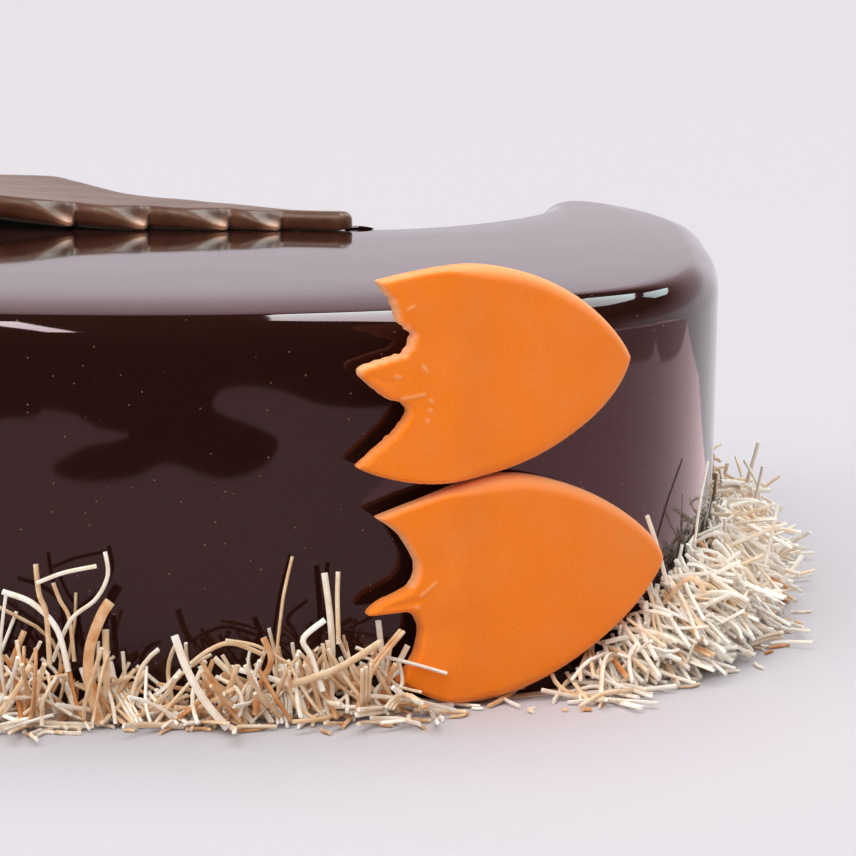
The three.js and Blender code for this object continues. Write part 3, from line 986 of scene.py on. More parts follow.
def foot(settings, node, marks):
    """One foot, cut from rolled paste and pressed on the wall by its sole."""
    sole, toes = foot_outline(marks)
    outline = np.vstack([sole, toes])
    start = foot_start(node, marks)
    rims, tears = finder(outline), finder(toes)
    edge = evenly_spaced(outline * MM, FOOT_POINT_GAP)
    shape = slab(edge, settings.thickness, settings.voxel)
    torn = shape.verts.layers.float.new("torn")
    shape.verts.ensure_lookup_table()
    flat = np.array([v.co for v in shape.verts])
    seen = flat[:, :2] / MM
    share = flat[:, 2] / settings.thickness
    rim_gap = np.array([rims.find((x, y, 0))[2] for x, y in seen]) * MM
    tear_gap = np.array([tears.find((x, y, 0))[2] for x, y in seen])
    toe = eased(np.clip((TOE_LIFT_FROM - seen[:, 0]) / TOE_LIFT_OVER, 0, 1))
    flecks = np.zeros(len(flat))
    for ends in marks["flecks"]:
        flecks = np.maximum(flecks, np.exp(-((beside_line(seen, ends) / FLECK_REACH) ** 2)))
    thick = foot_thickness(settings, marks, seen, toe, flecks)
    sharpness = np.clip(toe * SHARP_OVER, 0, 1)
    edge = np.minimum(rim_gap / (settings.rim + (SHARP_RIM - settings.rim) * sharpness), 1)
    round_off = RIM_LEAST + (1 - RIM_LEAST) * np.sqrt(1 - (1 - edge) ** 2)
    out = TOE_LIFT * toe + share * thick * round_off
    placed = wall.beside(start + flat[:, 0], flat[:, 1], out)
    tear_highlight = np.clip(1 - tear_gap / TEAR_HIGHLIGHT_REACH, 0, 1) * min(marks["tear"] * TEAR_HIGHLIGHT_SHARE, 1)
    # The upper rims are painted paler: a painted highlight where the top light falls.
    top_rim = (1 - edge) * (seen[:, 1] > marks["heel"][1])
    pale = np.maximum(PALE_TEAR * tear_highlight, PALE_FLECK * flecks) * share + PASTE_RIM_HIGHLIGHT * top_rim
    for v, co, value in zip(shape.verts, placed, pale):
        v.co = co
        v[torn] = value
    soften(shape)
    return shape


# ---- Pastry ------------------------------------------------------------------------------------

# The nest along the wall: distance from the feet's start, height and spread in millimetres,
# strands for each millimetre, the share that hang from the wall as a brush, their tone from
# pale (0) to toasted (1), and how much of the bank is filled by the matted core.
NEST_MARKS = [
    (-300, 14, 13, 5.5, 0.25, 0.36, 0.5), (-200, 14, 13, 5.5, 0.2, 0.38, 0.5),
    (-100, 14, 13, 5.2, 0.2, 0.4, 0.45), (-40, 15, 12, 4.6, 0.05, 0.4, 0.2),
    (-22, 17, 11, 4.6, 0.0, 0.4, 0.1), (-12, 17, 11, 4.6, 0.0, 0.4, 0.1),
    (-6, 11, 10, 3.8, 0.0, 0.4, 0.1), (0, 8, 10, 3.8, 0.0, 0.38, 0.12),
    (8, 9, 10, 4.2, 0.0, 0.36, 0.12), (16, 11, 10, 4.6, 0.0, 0.38, 0.15),
    (26, 12, 10, 5.2, 0.0, 0.38, 0.15), (34, 14, 10, 5.4, 0.0, 0.36, 0.12),
    (40, 9, 10, 4.6, 0.0, 0.34, 0.05), (45, 2, 8, 0.8, 0.0, 0.3, 0.02),
    (52, 1, 9, 0.3, 0.0, 0.3, 0.02), (60, 2, 13, 0.8, 0.0, 0.3, 0.02),
    (66, 5, 9, 4.0, 0.4, 0.2, 0.1), (74, 11, 9, 9.0, 0.7, 0.1, 0.35),
    (82, 15, 10, 12.5, 0.9, 0.06, 0.45), (95, 18, 11.5, 13.5, 0.9, 0.04, 0.45),
    (120, 20, 12.5, 12.0, 0.9, 0.05, 0.45), (150, 17, 12.5, 8.0, 0.6, 0.2, 0.5),
    (200, 15, 13, 6.0, 0.35, 0.32, 0.5), (300, 14, 13, 5.5, 0.25, 0.36, 0.5),
    (426, 14, 13, 5.5, 0.25, 0.36, 0.5),
]
NEST_SPAN = (-300, 426)  # the marks go once round, from and to the same place
STRAND_SIDES = 6
STRAND_STEPS = 7
FLOOR_GAP = 0.05 * MM  # under the strands that lie on the floor
NEAR_SHARE = 0.42  # share of the way round that the near piece of strands covers
SHARP_EDGE = math.radians(65)  # a strand's cut ends and folds stay crisp
END_PALENESS = 0.2  # the cut ends are this much paler
ANY_SIDE = (0.3, 0.2, 1.0)  # decides which way a quite straight strand lies
HARDLY = 1e-9  # and next to nothing for any other

# How the heap's strands lie. Lengths are the least, usual and most, in shortest strands;
# "out" and "high" are shares of the nest's spread and height there, and turns are radians.
STANDING_UNTIL, LEANING_UNTIL = 0.08, 0.74  # of the strands that don't hang
LYING = dict(length=(0.8, 1.4, 2.5), clear=0.6 * MM, high=0.5, settling=1.5, tilt=0.16)
LEANING = dict(length=(1.2, 1.9, 3.0), out=(0.25, 0.95), high=0.15, swing=1.1,
               rise=(0.3, 1.0), slope=(0.05, 0.85))
STANDING = dict(length=(0.85, 1.3), out=(0.1, 0.6), high=0.1, tilt=(0.95, 1.5))
HANGING = dict(length=(1.1, 1.7, 2.8), clear=0.4 * MM, out=0.3, settling=1.5,
               high=(0.25, 1.0), swing=0.75, drop=(0.2, 0.98), steepest=0.9,
               raised=0.15, tilt=(0.3, 0.9))
BENDS = [(0.0, 0.0, 0.4), (0.35, 0.4, 1.1), (0.76, 1.1, 2.3)]  # from a share on: least, most
BEND_MIDDLE = (0.25, 0.75)  # where along a strand its bend is, and how much of it bends
BEND_OVER = (0.35, 1.0)
WIDTHS = (0.7, 0.95, 1.5)  # least, usual and most, in usual strands
THICKNESSES = (0.85, 1.2)
ROLL = 0.6  # a strand's section is turned up to this, in radians
STRAND_CLEARANCE = 0.6  # from the wall and the floor, in thicknesses

TONE_SPREAD = 0.22
TOASTED_SHARE = 0.07  # of strands much more toasted, where the nest's tone is usual
USUAL_TONE = 0.4
LEAST_TOASTED = 0.3
TOASTED_TONES = (0.75, 1.0)

RIBBON_STRANDS = 3  # the last of them in one ribbon out of three
RIBBON_GAP = 0.9  # in widths, and how much wider it gets where the ribbon splits
RIBBON_SPLIT = 0.5
RIBBON_TONE = 0.15  # ribbons are this much more toasted

CRUMBS = dict(each_mm=0.4, out=(0.6, 1.15), length=(0.25, 0.8), tone=0.4, width=0.8)

CLEAR_STEPS = 22
CLEAR_POINTS = 16  # on the curve between two of a clear strand's points
CLEAR_WIDTH = 1.05
CLEAR_LEAN = 0.12  # a clear strand's lower end stands further out, by this share of its drop

# Strands that stand clear of the nest: how far out, width in strand widths, tone, and
# their points from the feet's start, as distance and height in millimetres.
CLEAR_STRANDS = [
    (3, 1.0, 0.15, [(-5.2, 24.5), (-4.8, 21.2), (-6.5, 17.8), (-10, 14.8), (-12.5, 9)]),
    (3, 0.9, 0.55, [(-12.5, 20), (-11.5, 17.5), (-10.2, 15), (-9.5, 9)]),
    (5, 0.9, 0.2, [(-14.2, 20.5), (-10.5, 22), (-6, 23)]),
    (5, 1.0, 0.6, [(-14.5, 23), (-14, 18.8), (-13, 16), (-12.5, 9)]),
    (5, 1.0, 0.1, [(-19.2, 19), (-15, 17.5), (-11.5, 13.8), (-10, 8)]),
    (6, 1.7, 0.78, [(-4.2, 18), (-5.5, 15.8), (-7, 11.2), (-7, 6.2), (-5.5, 0.8)]),
    (5, 1.3, 0.5, [(-5, 13.8), (-4.9, 10), (-4.8, 6.8), (-5.5, 2)]),
    (9, 1.2, 0.15, [(4.5, 13.8), (6, 9.2), (8.2, 4.8), (11.2, 0.7)]),
    (5, 0.9, 0.5, [(6.5, 9), (9.2, 11), (12.2, 11.8), (16.5, 10)]),
    (2, 1.0, 0.5, [(21, 23.2), (19.8, 18.5), (19.2, 15), (18.5, 9.2), (18.6, 4)]),
    (4, 1.3, 0.2, [(25.2, 21), (26, 11.5), (25.5, 0.8)]),
    (4, 1.0, 0.35, [(27, 21.2), (26.8, 17.2), (26.8, 11)]),
    (6, 1.0, 0.1, [(29, 10.6), (31.5, 9.5), (36.8, 7.8), (41.8, 6)]),
    (7, 0.9, 0.3, [(28.6, 9.4), (31, 8.8), (34.2, 5.2), (37.8, 3.8)]),
    (9, 1.4, 0.2, [(30, 4.2), (32.8, 3.8), (37.2, 2.8), (42, 1.2)]),
    (8, 1.6, 0.45, [(19.2, 6.2), (25.8, 8.2), (31.8, 11.5)]),
    (7, 1.0, 0.1, [(24.5, 15), (21.5, 12.5), (22.5, 10), (24, 5)]),
    (7, 1.1, 0.85, [(16.2, 12.8), (17.2, 9.5), (15.5, 5.8), (15, 2)]),
    (6, 0.9, 0.5, [(11.2, 12.5), (15.5, 11.5), (20.2, 8.5)]),
    (3, 1.0, 0.15, [(77.5, 24.8), (79.2, 20.2), (81, 14)]),
    (3, 1.0, 0.1, [(96.8, 30), (92, 25), (88.5, 19)]),
]


def strand_form(sides, steps):
    """A straight strand from a bmesh circle: its corners, with z as their step, and faces."""
    shape = bmesh.new()
    bmesh.ops.create_circle(shape, cap_ends=True, radius=1, segments=sides)
    bmesh.ops.rotate(shape, verts=shape.verts, matrix=Matrix.Rotation(math.pi / sides, 3, "Z"))
    end = next(iter(shape.faces))
    for _ in range(steps):
        end = extrude_cap(shape, end)
        bmesh.ops.translate(shape, verts=end.verts, vec=(0, 0, 1))
    bmesh.ops.recalc_face_normals(shape, faces=shape.faces)
    shape.verts.index_update()
    corners = np.array([v.co for v in shape.verts])
    faces = [[v.index for v in f.verts] for f in shape.faces]
    shape.free()
    return corners, faces


def unit(vectors):
    """Vectors made one long."""
    return vectors / np.linalg.norm(vectors, axis=-1, keepdims=True)


def many_strands(name, paths, width, thickness, turn, tone, material):
    """One piece of strands that follow their paths, each with its own section and tone."""
    last = paths.shape[1] - 1
    corners, faces = strand_form(STRAND_SIDES, last)
    steps = corners[:, 2].round().astype(int)
    along = unit(np.gradient(paths, axis=1))
    span = paths[:, -1] - paths[:, 0]
    aside = np.cross(span, paths[:, paths.shape[1] // 2] - paths[:, 0])
    aside += HARDLY * np.cross(span, ANY_SIDE)
    aside = unit(aside)
    aside = unit(aside[:, None] - along * (along * aside[:, None]).sum(2, keepdims=True))
    across = np.cross(along, aside)
    cos, sin = np.cos(turn)[:, None, None], np.sin(turn)[:, None, None]
    flat, thin = aside * cos + across * sin, across * cos - aside * sin
    half_width = corners[:, 0][None, :, None] * width[:, None, None] / 2
    half_thick = corners[:, 1][None, :, None] * thickness[:, None, None] / 2
    points = paths[:, steps] + flat[:, steps] * half_width + thin[:, steps] * half_thick
    points[:, :, 2] += np.maximum(FLOOR_GAP - points[:, :, 2].min(1), 0)[:, None]
    count = len(corners)
    all_faces = [[i + n * count for i in face] for n in range(len(paths)) for face in faces]
    mesh = bpy.data.meshes.new(name)
    mesh.from_pydata(points.reshape(-1, 3).tolist(), [], all_faces)
    at_end = (steps == 0) | (steps == last)
    tones = np.clip(tone[:, None] - END_PALENESS * at_end[None], 0, 1)
    mesh.attributes.new("tone", "FLOAT", "POINT").data.foreach_set(
        "value", tones.ravel().astype(np.float32)
    )
    piece = dress_piece(name, mesh, material)
    mesh.set_sharp_from_angle(angle=SHARP_EDGE)
    return piece


def nest_at(run):
    """The nest's marks at distances from the feet's start, with lengths in metres."""
    marks = np.array(NEST_MARKS)
    low, high = NEST_SPAN
    run = (np.asarray(run) / wall.length * (high - low) - low) % (high - low) + low
    height, spread, *shares = [np.interp(run, marks[:, 0], column) for column in marks.T[1:]]
    return [height * MM, spread * MM, *shares]


def scattered_runs(rng, settings):
    """Distances along the wall, as many in each place as the nest has strands there."""
    most = max(mark[3] for mark in NEST_MARKS) * settings.density
    tries = rng.uniform(0, wall.length, int(most * wall.length / MM))
    return tries[rng.uniform(0, most, len(tries)) < nest_at(tries)[2] * settings.density]


def bends(rng, count):
    """How far strands turn from end to end: most a little, a few right round."""
    chance = rng.uniform(0, 1, count)
    turn = np.zeros(count)
    for start, least, most in BENDS:
        turn = np.where(chance >= start, rng.uniform(least, most, count), turn)
    return turn


def bent_paths(rng, start, way, side, length, turn):
    """Paths of a length from their starts, which turn sideways over part of it."""
    count = len(start)
    t = (np.arange(STRAND_STEPS) + 0.5) / STRAND_STEPS
    middle = rng.uniform(*BEND_MIDDLE, count)[:, None]
    over = rng.uniform(*BEND_OVER, count)[:, None]
    angle = turn[:, None] * (eased(np.clip((t[None] - middle) / over + 0.5, 0, 1)) - 0.5)
    pieces = np.cos(angle)[..., None] * way[:, None] + np.sin(angle)[..., None] * side[:, None]
    pieces *= length[:, None, None] / STRAND_STEPS
    return start[:, None] + np.concatenate([np.zeros((count, 1, 3)), np.cumsum(pieces, 1)], 1)


def lying(rng, settings, height, spread):
    """Strands that lie on the floor and on one another."""
    count = len(height)
    share = rng.uniform(0, 1, count)
    length = rng.triangular(*LYING["length"], count) * settings.shortest
    pile = LYING["high"] * height * (1 - share) * rng.uniform(0, 1, count) ** LYING["settling"]
    return {
        "length": length,
        "out": LYING["clear"] + spread * share,
        "level": settings.thickness / 2 + pile,
        "tilt": np.abs(rng.normal(0, LYING["tilt"], count)),
        "heading": rng.uniform(-math.pi, math.pi, count),
    }


def leaning(rng, settings, height, spread):
    """Strands that lean with their upper ends towards the wall."""
    count = len(height)
    made = {
        "length": rng.triangular(*LEANING["length"], count) * settings.shortest,
        "out": spread * rng.uniform(*LEANING["out"], count),
        "level": settings.thickness / 2 + height * LEANING["high"] * rng.uniform(0, 1, count),
        "heading": math.pi + rng.normal(0, LEANING["swing"], count),
    }
    rise = height * rng.uniform(*LEANING["rise"], count)
    made["tilt"] = np.arcsin(np.clip(rise / made["length"], *LEANING["slope"]))
    return made


def standing(rng, settings, height, spread, heading):
    """Strands that stand nearly upright."""
    count = len(height)
    length = height * rng.uniform(*STANDING["length"], count)
    return {
        "length": np.maximum(length, settings.shortest),
        "out": spread * rng.uniform(*STANDING["out"], count),
        "level": settings.thickness / 2 + height * STANDING["high"] * rng.uniform(0, 1, count),
        "heading": heading,
        "tilt": rng.uniform(*STANDING["tilt"], count),
    }


def hanging(rng, settings, height, spread):
    """Strands that hang outwards and down from the wall, as the hairs of a brush do."""
    count = len(height)
    length = rng.triangular(*HANGING["length"], count) * settings.shortest
    reach = HANGING["out"] * spread * rng.uniform(0, 1, count) ** HANGING["settling"]
    level = height * rng.uniform(*HANGING["high"], count)
    heading = rng.normal(0, HANGING["swing"], count)
    drop = (level - settings.thickness / 2) * rng.uniform(*HANGING["drop"], count)
    tilt = -np.arcsin(np.clip(drop / length, 0, HANGING["steepest"]))
    raised = rng.uniform(0, 1, count) < HANGING["raised"]
    tilt += raised * rng.uniform(*HANGING["tilt"], count)
    return {
        "length": length, "out": HANGING["clear"] + reach, "level": level,
        "heading": heading, "tilt": tilt,
    }


def heaped_paths(rng, settings, feet_start, run):
    """Centre lines of the nest's strands: lying, leaning, standing or hanging as a brush."""
    count = len(run)
    height, spread, _, brush, _, _ = nest_at(run)
    _, outward = wall.at(feet_start + run)
    outward = np.column_stack([outward, np.zeros(count)])
    along = np.column_stack([-outward[:, 1], outward[:, 0], np.zeros(count)])
    chance = rng.uniform(0, 1, count)
    hangs = rng.uniform(0, 1, count) < brush
    stands = ~hangs & (chance < STANDING_UNTIL)
    leans = ~hangs & (chance >= STANDING_UNTIL) & (chance < LEANING_UNTIL)

    values = lying(rng, settings, height, spread)
    others = (
        (leans, leaning(rng, settings, height, spread)),
        (stands, standing(rng, settings, height, spread, values["heading"])),
        (hangs, hanging(rng, settings, height, spread)),
    )
    for chosen, kind in others:
        for key in values:
            values[key] = np.where(chosen, kind[key], values[key])

    heading, tilt = values["heading"][:, None], values["tilt"][:, None]
    flat_way = outward * np.cos(heading) + along * np.sin(heading)
    way = flat_way * np.cos(tilt) + np.array([0, 0, 1.0]) * np.sin(tilt)
    start = wall.beside(feet_start + run, values["level"], values["out"])
    level_side = np.cross(way, (0, 0, 1.0)) * rng.choice([-1, 1], count)[:, None]
    any_side = np.cross(way, rng.normal(0, 1, (count, 3)))
    lies = ~(hangs | stands | leans)
    side = unit(np.where(lies[:, None], level_side, any_side))
    return bent_paths(rng, start, way, side, values["length"], bends(rng, count))


def crumb_paths(rng, settings, feet_start):
    """Short broken bits that lie on the floor at the nest's edge."""
    run = rng.uniform(0, wall.length, int(CRUMBS["each_mm"] * wall.length / MM))
    _, spread, _, _, _, _ = nest_at(run)
    heading = rng.uniform(0, 2 * math.pi, len(run))
    way = np.column_stack([np.cos(heading), np.sin(heading), np.zeros(len(run))])
    side = np.column_stack([-way[:, 1], way[:, 0], np.zeros(len(run))])
    out = spread * rng.uniform(*CRUMBS["out"], len(run))
    start = wall.beside(feet_start + run, np.full(len(run), settings.thickness / 2), out)
    length = rng.uniform(*CRUMBS["length"], len(run)) * settings.shortest
    return bent_paths(rng, start, way, side, length, bends(rng, len(run)))


def clear_paths(feet_start):
    """Centre lines of the strands that stand clear, evenly spaced along their routes."""
    paths = []
    for out, _, _, points in CLEAR_STRANDS:
        route = np.vstack([smooth_through(points, CLEAR_POINTS), points[-1:]])
        reach = reach_along(route)
        marks = np.linspace(0, reach[-1], CLEAR_STEPS + 1)
        run, level = (np.interp(marks, reach, route[:, k]) for k in (0, 1))
        lean = CLEAR_LEAN * (level.mean() - level)
        paths.append(wall.beside(feet_start + run * MM, level * MM, (out + lean) * MM))
    return np.array(paths)


def stuck_together(rng, paths, width):
    """Ribbons: each path twice or three times, side by side and splitting at one end."""
    along = unit(paths[:, -1] - paths[:, 0])
    aside = unit(np.cross(along, rng.normal(0, 1, paths[:, 0].shape)))
    fray = np.linspace(0, 1, paths.shape[1]) ** 2
    ribbons = []
    for k in range(RIBBON_STRANDS):
        kept = slice(None) if k < RIBBON_STRANDS - 1 else slice(0, len(paths) // 3)
        split = RIBBON_SPLIT * fray[None, :, None] * rng.uniform(0, 1, (len(paths), 1, 1))
        reach = k * width * (RIBBON_GAP + split)
        ribbons.append((paths + aside[:, None] * reach)[kept])
    return np.concatenate(ribbons)


def settle(paths, radius):
    """Lifts strands off the floor whole and keeps their points out of the wall."""
    lowest = paths[:, :, 2].min(1)
    paths[:, :, 2] += np.maximum(radius - lowest, 0)[:, None]
    flat = paths.reshape(-1, 3)
    distance, out = wall.locate(flat)
    _, outward = wall.at(distance)
    push = np.maximum(radius - draft_at(flat[:, 2]) - out, 0)
    flat[:, :2] += outward * push[:, None]
    return flat.reshape(paths.shape)


def clear_of_foot(paths, outline, start):
    """Which strands leave the foot's face open."""
    distance, _ = wall.locate(paths.reshape(-1, 3))
    seen = np.column_stack([distance - start, paths.reshape(-1, 3)[:, 2]])
    return ~inside(outline, seen).reshape(paths.shape[:2]).any(1)


CORE_COLUMN = 2.0 * MM
CORE_LEAST = (0.3 * MM, 1.2 * MM)  # the least height and width of the core
CORE_SPREAD = 0.15  # its share of the nest's spread is this much more than of its height
CORE_PROFILE = [(0.0, 0.0), (0.0, 1.0), (0.3, 0.85), (0.6, 0.5), (0.85, 0.2), (1.0, 0.0)]
CORE_BEHIND = 0.3 * MM  # its back lies this far inside the cake
CORE_UNEVEN = (0.25, 5, 7)  # share, length and seed
CORE_ROW_GAP = 5.0  # between the places in the noise of two of the profile's corners


def pastry_core(feet_start, material):
    """The matted heart of the nest: a low uneven bank along the wall's foot."""
    shape = bmesh.new()
    tone = shape.verts.layers.float.new("tone")
    columns = round(wall.length / CORE_COLUMN)
    run = np.arange(columns + 1) / columns * wall.length
    height, spread, _, _, shade, fill = nest_at(run)
    high = np.maximum(height * fill, CORE_LEAST[0])
    wide = np.maximum(spread * (CORE_SPREAD + fill), CORE_LEAST[1])
    uneven, bump_length, seed = CORE_UNEVEN
    cap = shape.faces.new([shape.verts.new((a, 0, b)) for a, b in CORE_PROFILE])
    first = list(cap.verts)
    for i in range(columns + 1):
        if i:
            cap = extrude_cap(shape, cap)
        for k, corner in enumerate(cap.verts):
            a, b = CORE_PROFILE[k]
            noisy = (run[i % columns] / MM, k * CORE_ROW_GAP, 0)
            bump = 1 + uneven * rough(noisy, bump_length, seed) * (0 < b < 1)
            out = -CORE_BEHIND + a * wide[i % columns] * bump
            level = np.array([b * high[i % columns] * bump])
            corner.co = wall.beside(feet_start + run[i], level, out)[0]
            corner[tone] = shade[i % columns]
    starts = [f for f in shape.faces if set(f.verts) == set(first)]
    bmesh.ops.delete(shape, geom=[*starts, cap], context="FACES_ONLY")
    bmesh.ops.remove_doubles(shape, verts=shape.verts, dist=WELD)
    bmesh.ops.recalc_face_normals(shape, faces=shape.faces)
    return new_piece("pastry_core", shape, material, ["pastry_nest"])


def strand_piece(rng, settings, name, paths, tone, material, widths=1.0):
    """A piece of strands with the usual spread of widths and sections."""
    count = len(paths)
    width = settings.width * widths * rng.triangular(*WIDTHS, count)
    thickness = settings.thickness * rng.uniform(*THICKNESSES, count)
    turn = rng.uniform(-ROLL, ROLL, count)
    # Only strands of one width each may lie either way; the placed ones face the front.
    facing = math.pi / 2 * (rng.integers(0, 2, count) if np.isscalar(widths) else 1)
    return many_strands(name, paths, width, thickness, turn + facing, tone, material)


def mixed_tones(rng, usual):
    """Tones about the usual one, with a few strands much more toasted."""
    count = len(usual)
    tone = np.clip(usual + rng.normal(0, TONE_SPREAD, count), 0, 1)
    often = TOASTED_SHARE * np.clip(usual / USUAL_TONE, LEAST_TOASTED, 1)
    toasted = rng.uniform(0, 1, count) < often
    return np.where(toasted, rng.uniform(*TOASTED_TONES, count), tone)


def pastry(settings):
    """All the pastry: core, heaped strands, ribbons, crumbs and the strands that stand clear."""
    rng = np.random.default_rng(SEED)
    baked = toasted_pastry(settings)
    start = foot_start("foot_lower", LOWER_FOOT)
    outline = np.vstack(foot_outline(LOWER_FOOT)) * MM
    pastry_core(start, baked)
    radius = settings.thickness * STRAND_CLEARANCE

    run = scattered_runs(rng, settings)
    paths = settle(heaped_paths(rng, settings, start, run), radius)
    tone = mixed_tones(rng, nest_at(run)[4])
    kept = clear_of_foot(paths, outline, start)
    paths, tone, run = paths[kept], tone[kept], run[kept]
    ribbon = rng.uniform(0, 1, len(run)) < settings.ribbons
    near = run < NEAR_SHARE * wall.length
    for name, chosen in (("strands_near", near), ("strands_far", ~near)):
        chosen = chosen & ~ribbon
        strand_piece(rng, settings, name, paths[chosen], tone[chosen], baked)

    ribbons = settle(stuck_together(rng, paths[ribbon], settings.width), radius)
    shades = np.concatenate([tone[ribbon], tone[ribbon], tone[ribbon][: ribbon.sum() // 3]])
    kept = clear_of_foot(ribbons, outline, start)
    shades = np.clip(shades + RIBBON_TONE, 0, 1)
    strand_piece(rng, settings, "strand_ribbons", ribbons[kept], shades[kept], baked)

    crumbs = settle(crumb_paths(rng, settings, start), radius)
    shades = mixed_tones(rng, np.full(len(crumbs), CRUMBS["tone"]))
    kept = clear_of_foot(crumbs, outline, start)
    crumbs, shades = crumbs[kept], shades[kept]
    strand_piece(rng, settings, "strand_crumbs", crumbs, shades, baked, CRUMBS["width"])

    clear = settle(clear_paths(start), radius)
    widths = CLEAR_WIDTH * np.array([strand[1] for strand in CLEAR_STRANDS])
    shades = np.array([strand[2] for strand in CLEAR_STRANDS])
    strand_piece(rng, settings, "strands_clear", clear, shades, baked, widths)


# ---- Stage ---------------------------------------------------------------------------------------

CAMERA_PLACE = Vector((58.68, -561.39, 116.08)) * MM
CAMERA_SENSOR = 36.0
FLOOR_REACH = 12.0

# What the glaze mirrors, in metres. The light panels hang this high above the cake.
PANEL_RISE = 1.0
PANEL_TINT = (0.78, 1.0, 1.0)
PANELS = [
    (20.0, [(-0.35, -0.9), (-0.26, -0.9), (-0.26, -0.1), (-0.35, -0.1)]),
    (14.0, [(0.1, 0.6), (0.11, 0.3), (0.18, -0.08), (0.311, -0.19), (0.515, -0.35),
            (0.33, 0.13), (0.25, 0.45), (0.24, 0.7)]),
    (6.0, [(0.5, 0.9), (0.6, 0.3), (0.85, 0.1), (0.93, 0.377), (0.93, 0.6), (0.92, 0.83),
           (0.74, 1.15), (0.7, 1.3)]),
    (3.5, [(0.78, 1.36), (0.94, 1.05), (1.2, 1.2), (1.28, 1.75), (0.97, 2.25)]),
]
# Edge of a dark glowing sheet in front, seen only in the glaze: a painted reflection of the dark
# room.
DARK_SHEET_EDGE = [
    (-12.0, -0.34), (-3.0, -0.32), (-0.3, -0.305), (-0.095, -0.307), (-0.072, -0.324),
    (-0.049, -0.322), (-0.03, -0.306), (-0.008, -0.302), (-0.017, -0.287), (-0.034, -0.274),
    (-0.045, -0.253), (-0.03, -0.246), (-0.003, -0.254), (0.022, -0.268), (0.056, -0.25),
    (0.085, -0.256), (0.102, -0.275), (0.096, -0.3), (0.064, -0.345), (0.076, -0.384),
    (0.11, -0.388), (0.145, -0.37), (0.172, -0.338), (0.24, -0.316), (0.33, -0.345),
    (0.5, -0.5), (1.4, -0.75), (12.0, -3.0),
]
DARK_SHEET_CORNERS = [(12.0, -12.0), (-12.0, -12.0)]
DARK_SHEET_HEIGHT, SIDE_GLOW_HEIGHT, SHADE_HEIGHT = 0.1 * MM, 1 * MM, 2 * MM
CURVE_POINTS = 6  # on the cloth's edge and a shade's between two of their points
# A pale glowing sheet at the side, seen only in the glaze: a painted reflection.
SIDE_GLOW = [(0.12, -0.2), (0.3, -0.3), (1.5, -0.6), (1.5, 0.6), (0.25, 0.2), (0.15, 0.1)]
SIDE_GLOW_RADIANCE = (1.56, 1.2, 1.28)
SHADES = [  # darker patches painted into the side glow's reflection
    [(0.39, -0.2), (0.6, -0.16), (0.62, 0.0), (0.5, 0.05), (0.4, 0.03), (0.395, -0.06)],
    [(0.37, 0.06), (0.5, 0.04), (0.6, 0.12), (0.52, 0.24), (0.41, 0.26), (0.355, 0.16)],
]
SHADE_GLOW = (0.75, 0.52, 0.55)
LAMPS = {"key": (-150, 45, 60), "top": (20, 75, 70)}  # direction, height, spread in degrees
VIEW_RANGE = (0.05, 100)


def camera(settings):
    """The photograph's view: from the near side, a little above the cake."""
    lens = bpy.data.cameras.new("camera")
    lens.lens = settings.lens
    lens.sensor_width = CAMERA_SENSOR
    lens.clip_start, lens.clip_end = VIEW_RANGE
    seen = new_object("camera", lens)
    seen.location = CAMERA_PLACE
    seen.rotation_euler = (math.pi / 2 - settings.pitch, 0, 0)
    bpy.context.scene.camera = seen


def stage_plane(name, corners, height, material):
    """A flat piece of the stage at a height."""
    shape = bmesh.new()
    shape.faces.new([shape.verts.new((x, y, height)) for x, y in corners])
    bmesh.ops.triangulate(shape, faces=shape.faces)
    mesh = bpy.data.meshes.new(name)
    shape.to_mesh(mesh)
    shape.free()
    mesh.materials.append(material)
    made = new_object(name, mesh)
    return made


def floor(settings):
    """A wide pale floor."""
    reach = FLOOR_REACH
    corners = [(-reach, -reach), (reach, -reach), (reach, reach), (-reach, reach)]
    stage_plane("studio_floor", corners, 0, studio_paper(settings))


def glow_card(name, radiance):
    """Plain light of one brightness: from a lamp panel, or from a dark or pale sheet that glows as
    a painted reflection.
    """
    material, tree = new_material(name)
    shader = add_node(
        tree, "ShaderNodeEmission", inputs={"Color": (*radiance, 1.0), "Strength": 1.0}
    )
    close_material(tree, shader)
    return material


def only_mirrored(made):
    """Leaves a part of the stage to the glaze's reflections."""
    made.visible_camera = False
    made.visible_diffuse = False
    made.visible_transmission = False
    made.visible_shadow = False


def mirrored_cards():
    """What shows only in the glaze: light panels, and sheets that glow as painted reflections: a
    dark one in front and a pale one beside, with darker patches on it.
    """
    height = CAKE_TOP + PANEL_RISE
    for n, (glow, corners) in enumerate(PANELS):
        lit = glow_card(f"panel_light_{n}", [glow * share for share in PANEL_TINT])
        only_mirrored(stage_plane(f"panel_{n}", corners, height, lit))
    # Painted reflections: sheets that glow but light nothing and are seen only in the glaze.
    dark = glow_card("dark_cloth", ROOM[-1][1])
    edge = smooth_through(DARK_SHEET_EDGE, CURVE_POINTS).tolist()
    only_mirrored(stage_plane("dark_cloth", [*edge, *DARK_SHEET_CORNERS], DARK_SHEET_HEIGHT, dark))
    pale = glow_card("side_card", SIDE_GLOW_RADIANCE)
    only_mirrored(stage_plane("side_card", SIDE_GLOW, SIDE_GLOW_HEIGHT, pale))
    shade = glow_card("side_shade", SHADE_GLOW)
    for n, corners in enumerate(SHADES):
        edge = smooth_through([*corners, corners[0]], CURVE_POINTS)
        only_mirrored(stage_plane(f"side_shade_{n}", edge.tolist(), SHADE_HEIGHT, shade))


def lamp(name, strength, azimuth, elevation, spread):
    """A wide soft light at a distance, from a compass direction and a height."""
    light = bpy.data.lights.new(name, "SUN")
    light.energy = strength
    light.angle = math.radians(spread)
    made = new_object(name, light)
    a, e = math.radians(azimuth), math.radians(elevation)
    towards = Vector((math.sin(a) * math.cos(e), math.cos(a) * math.cos(e), math.sin(e)))
    made.rotation_euler = towards.to_track_quat("Z", "Y").to_euler()
    made.visible_glossy = False


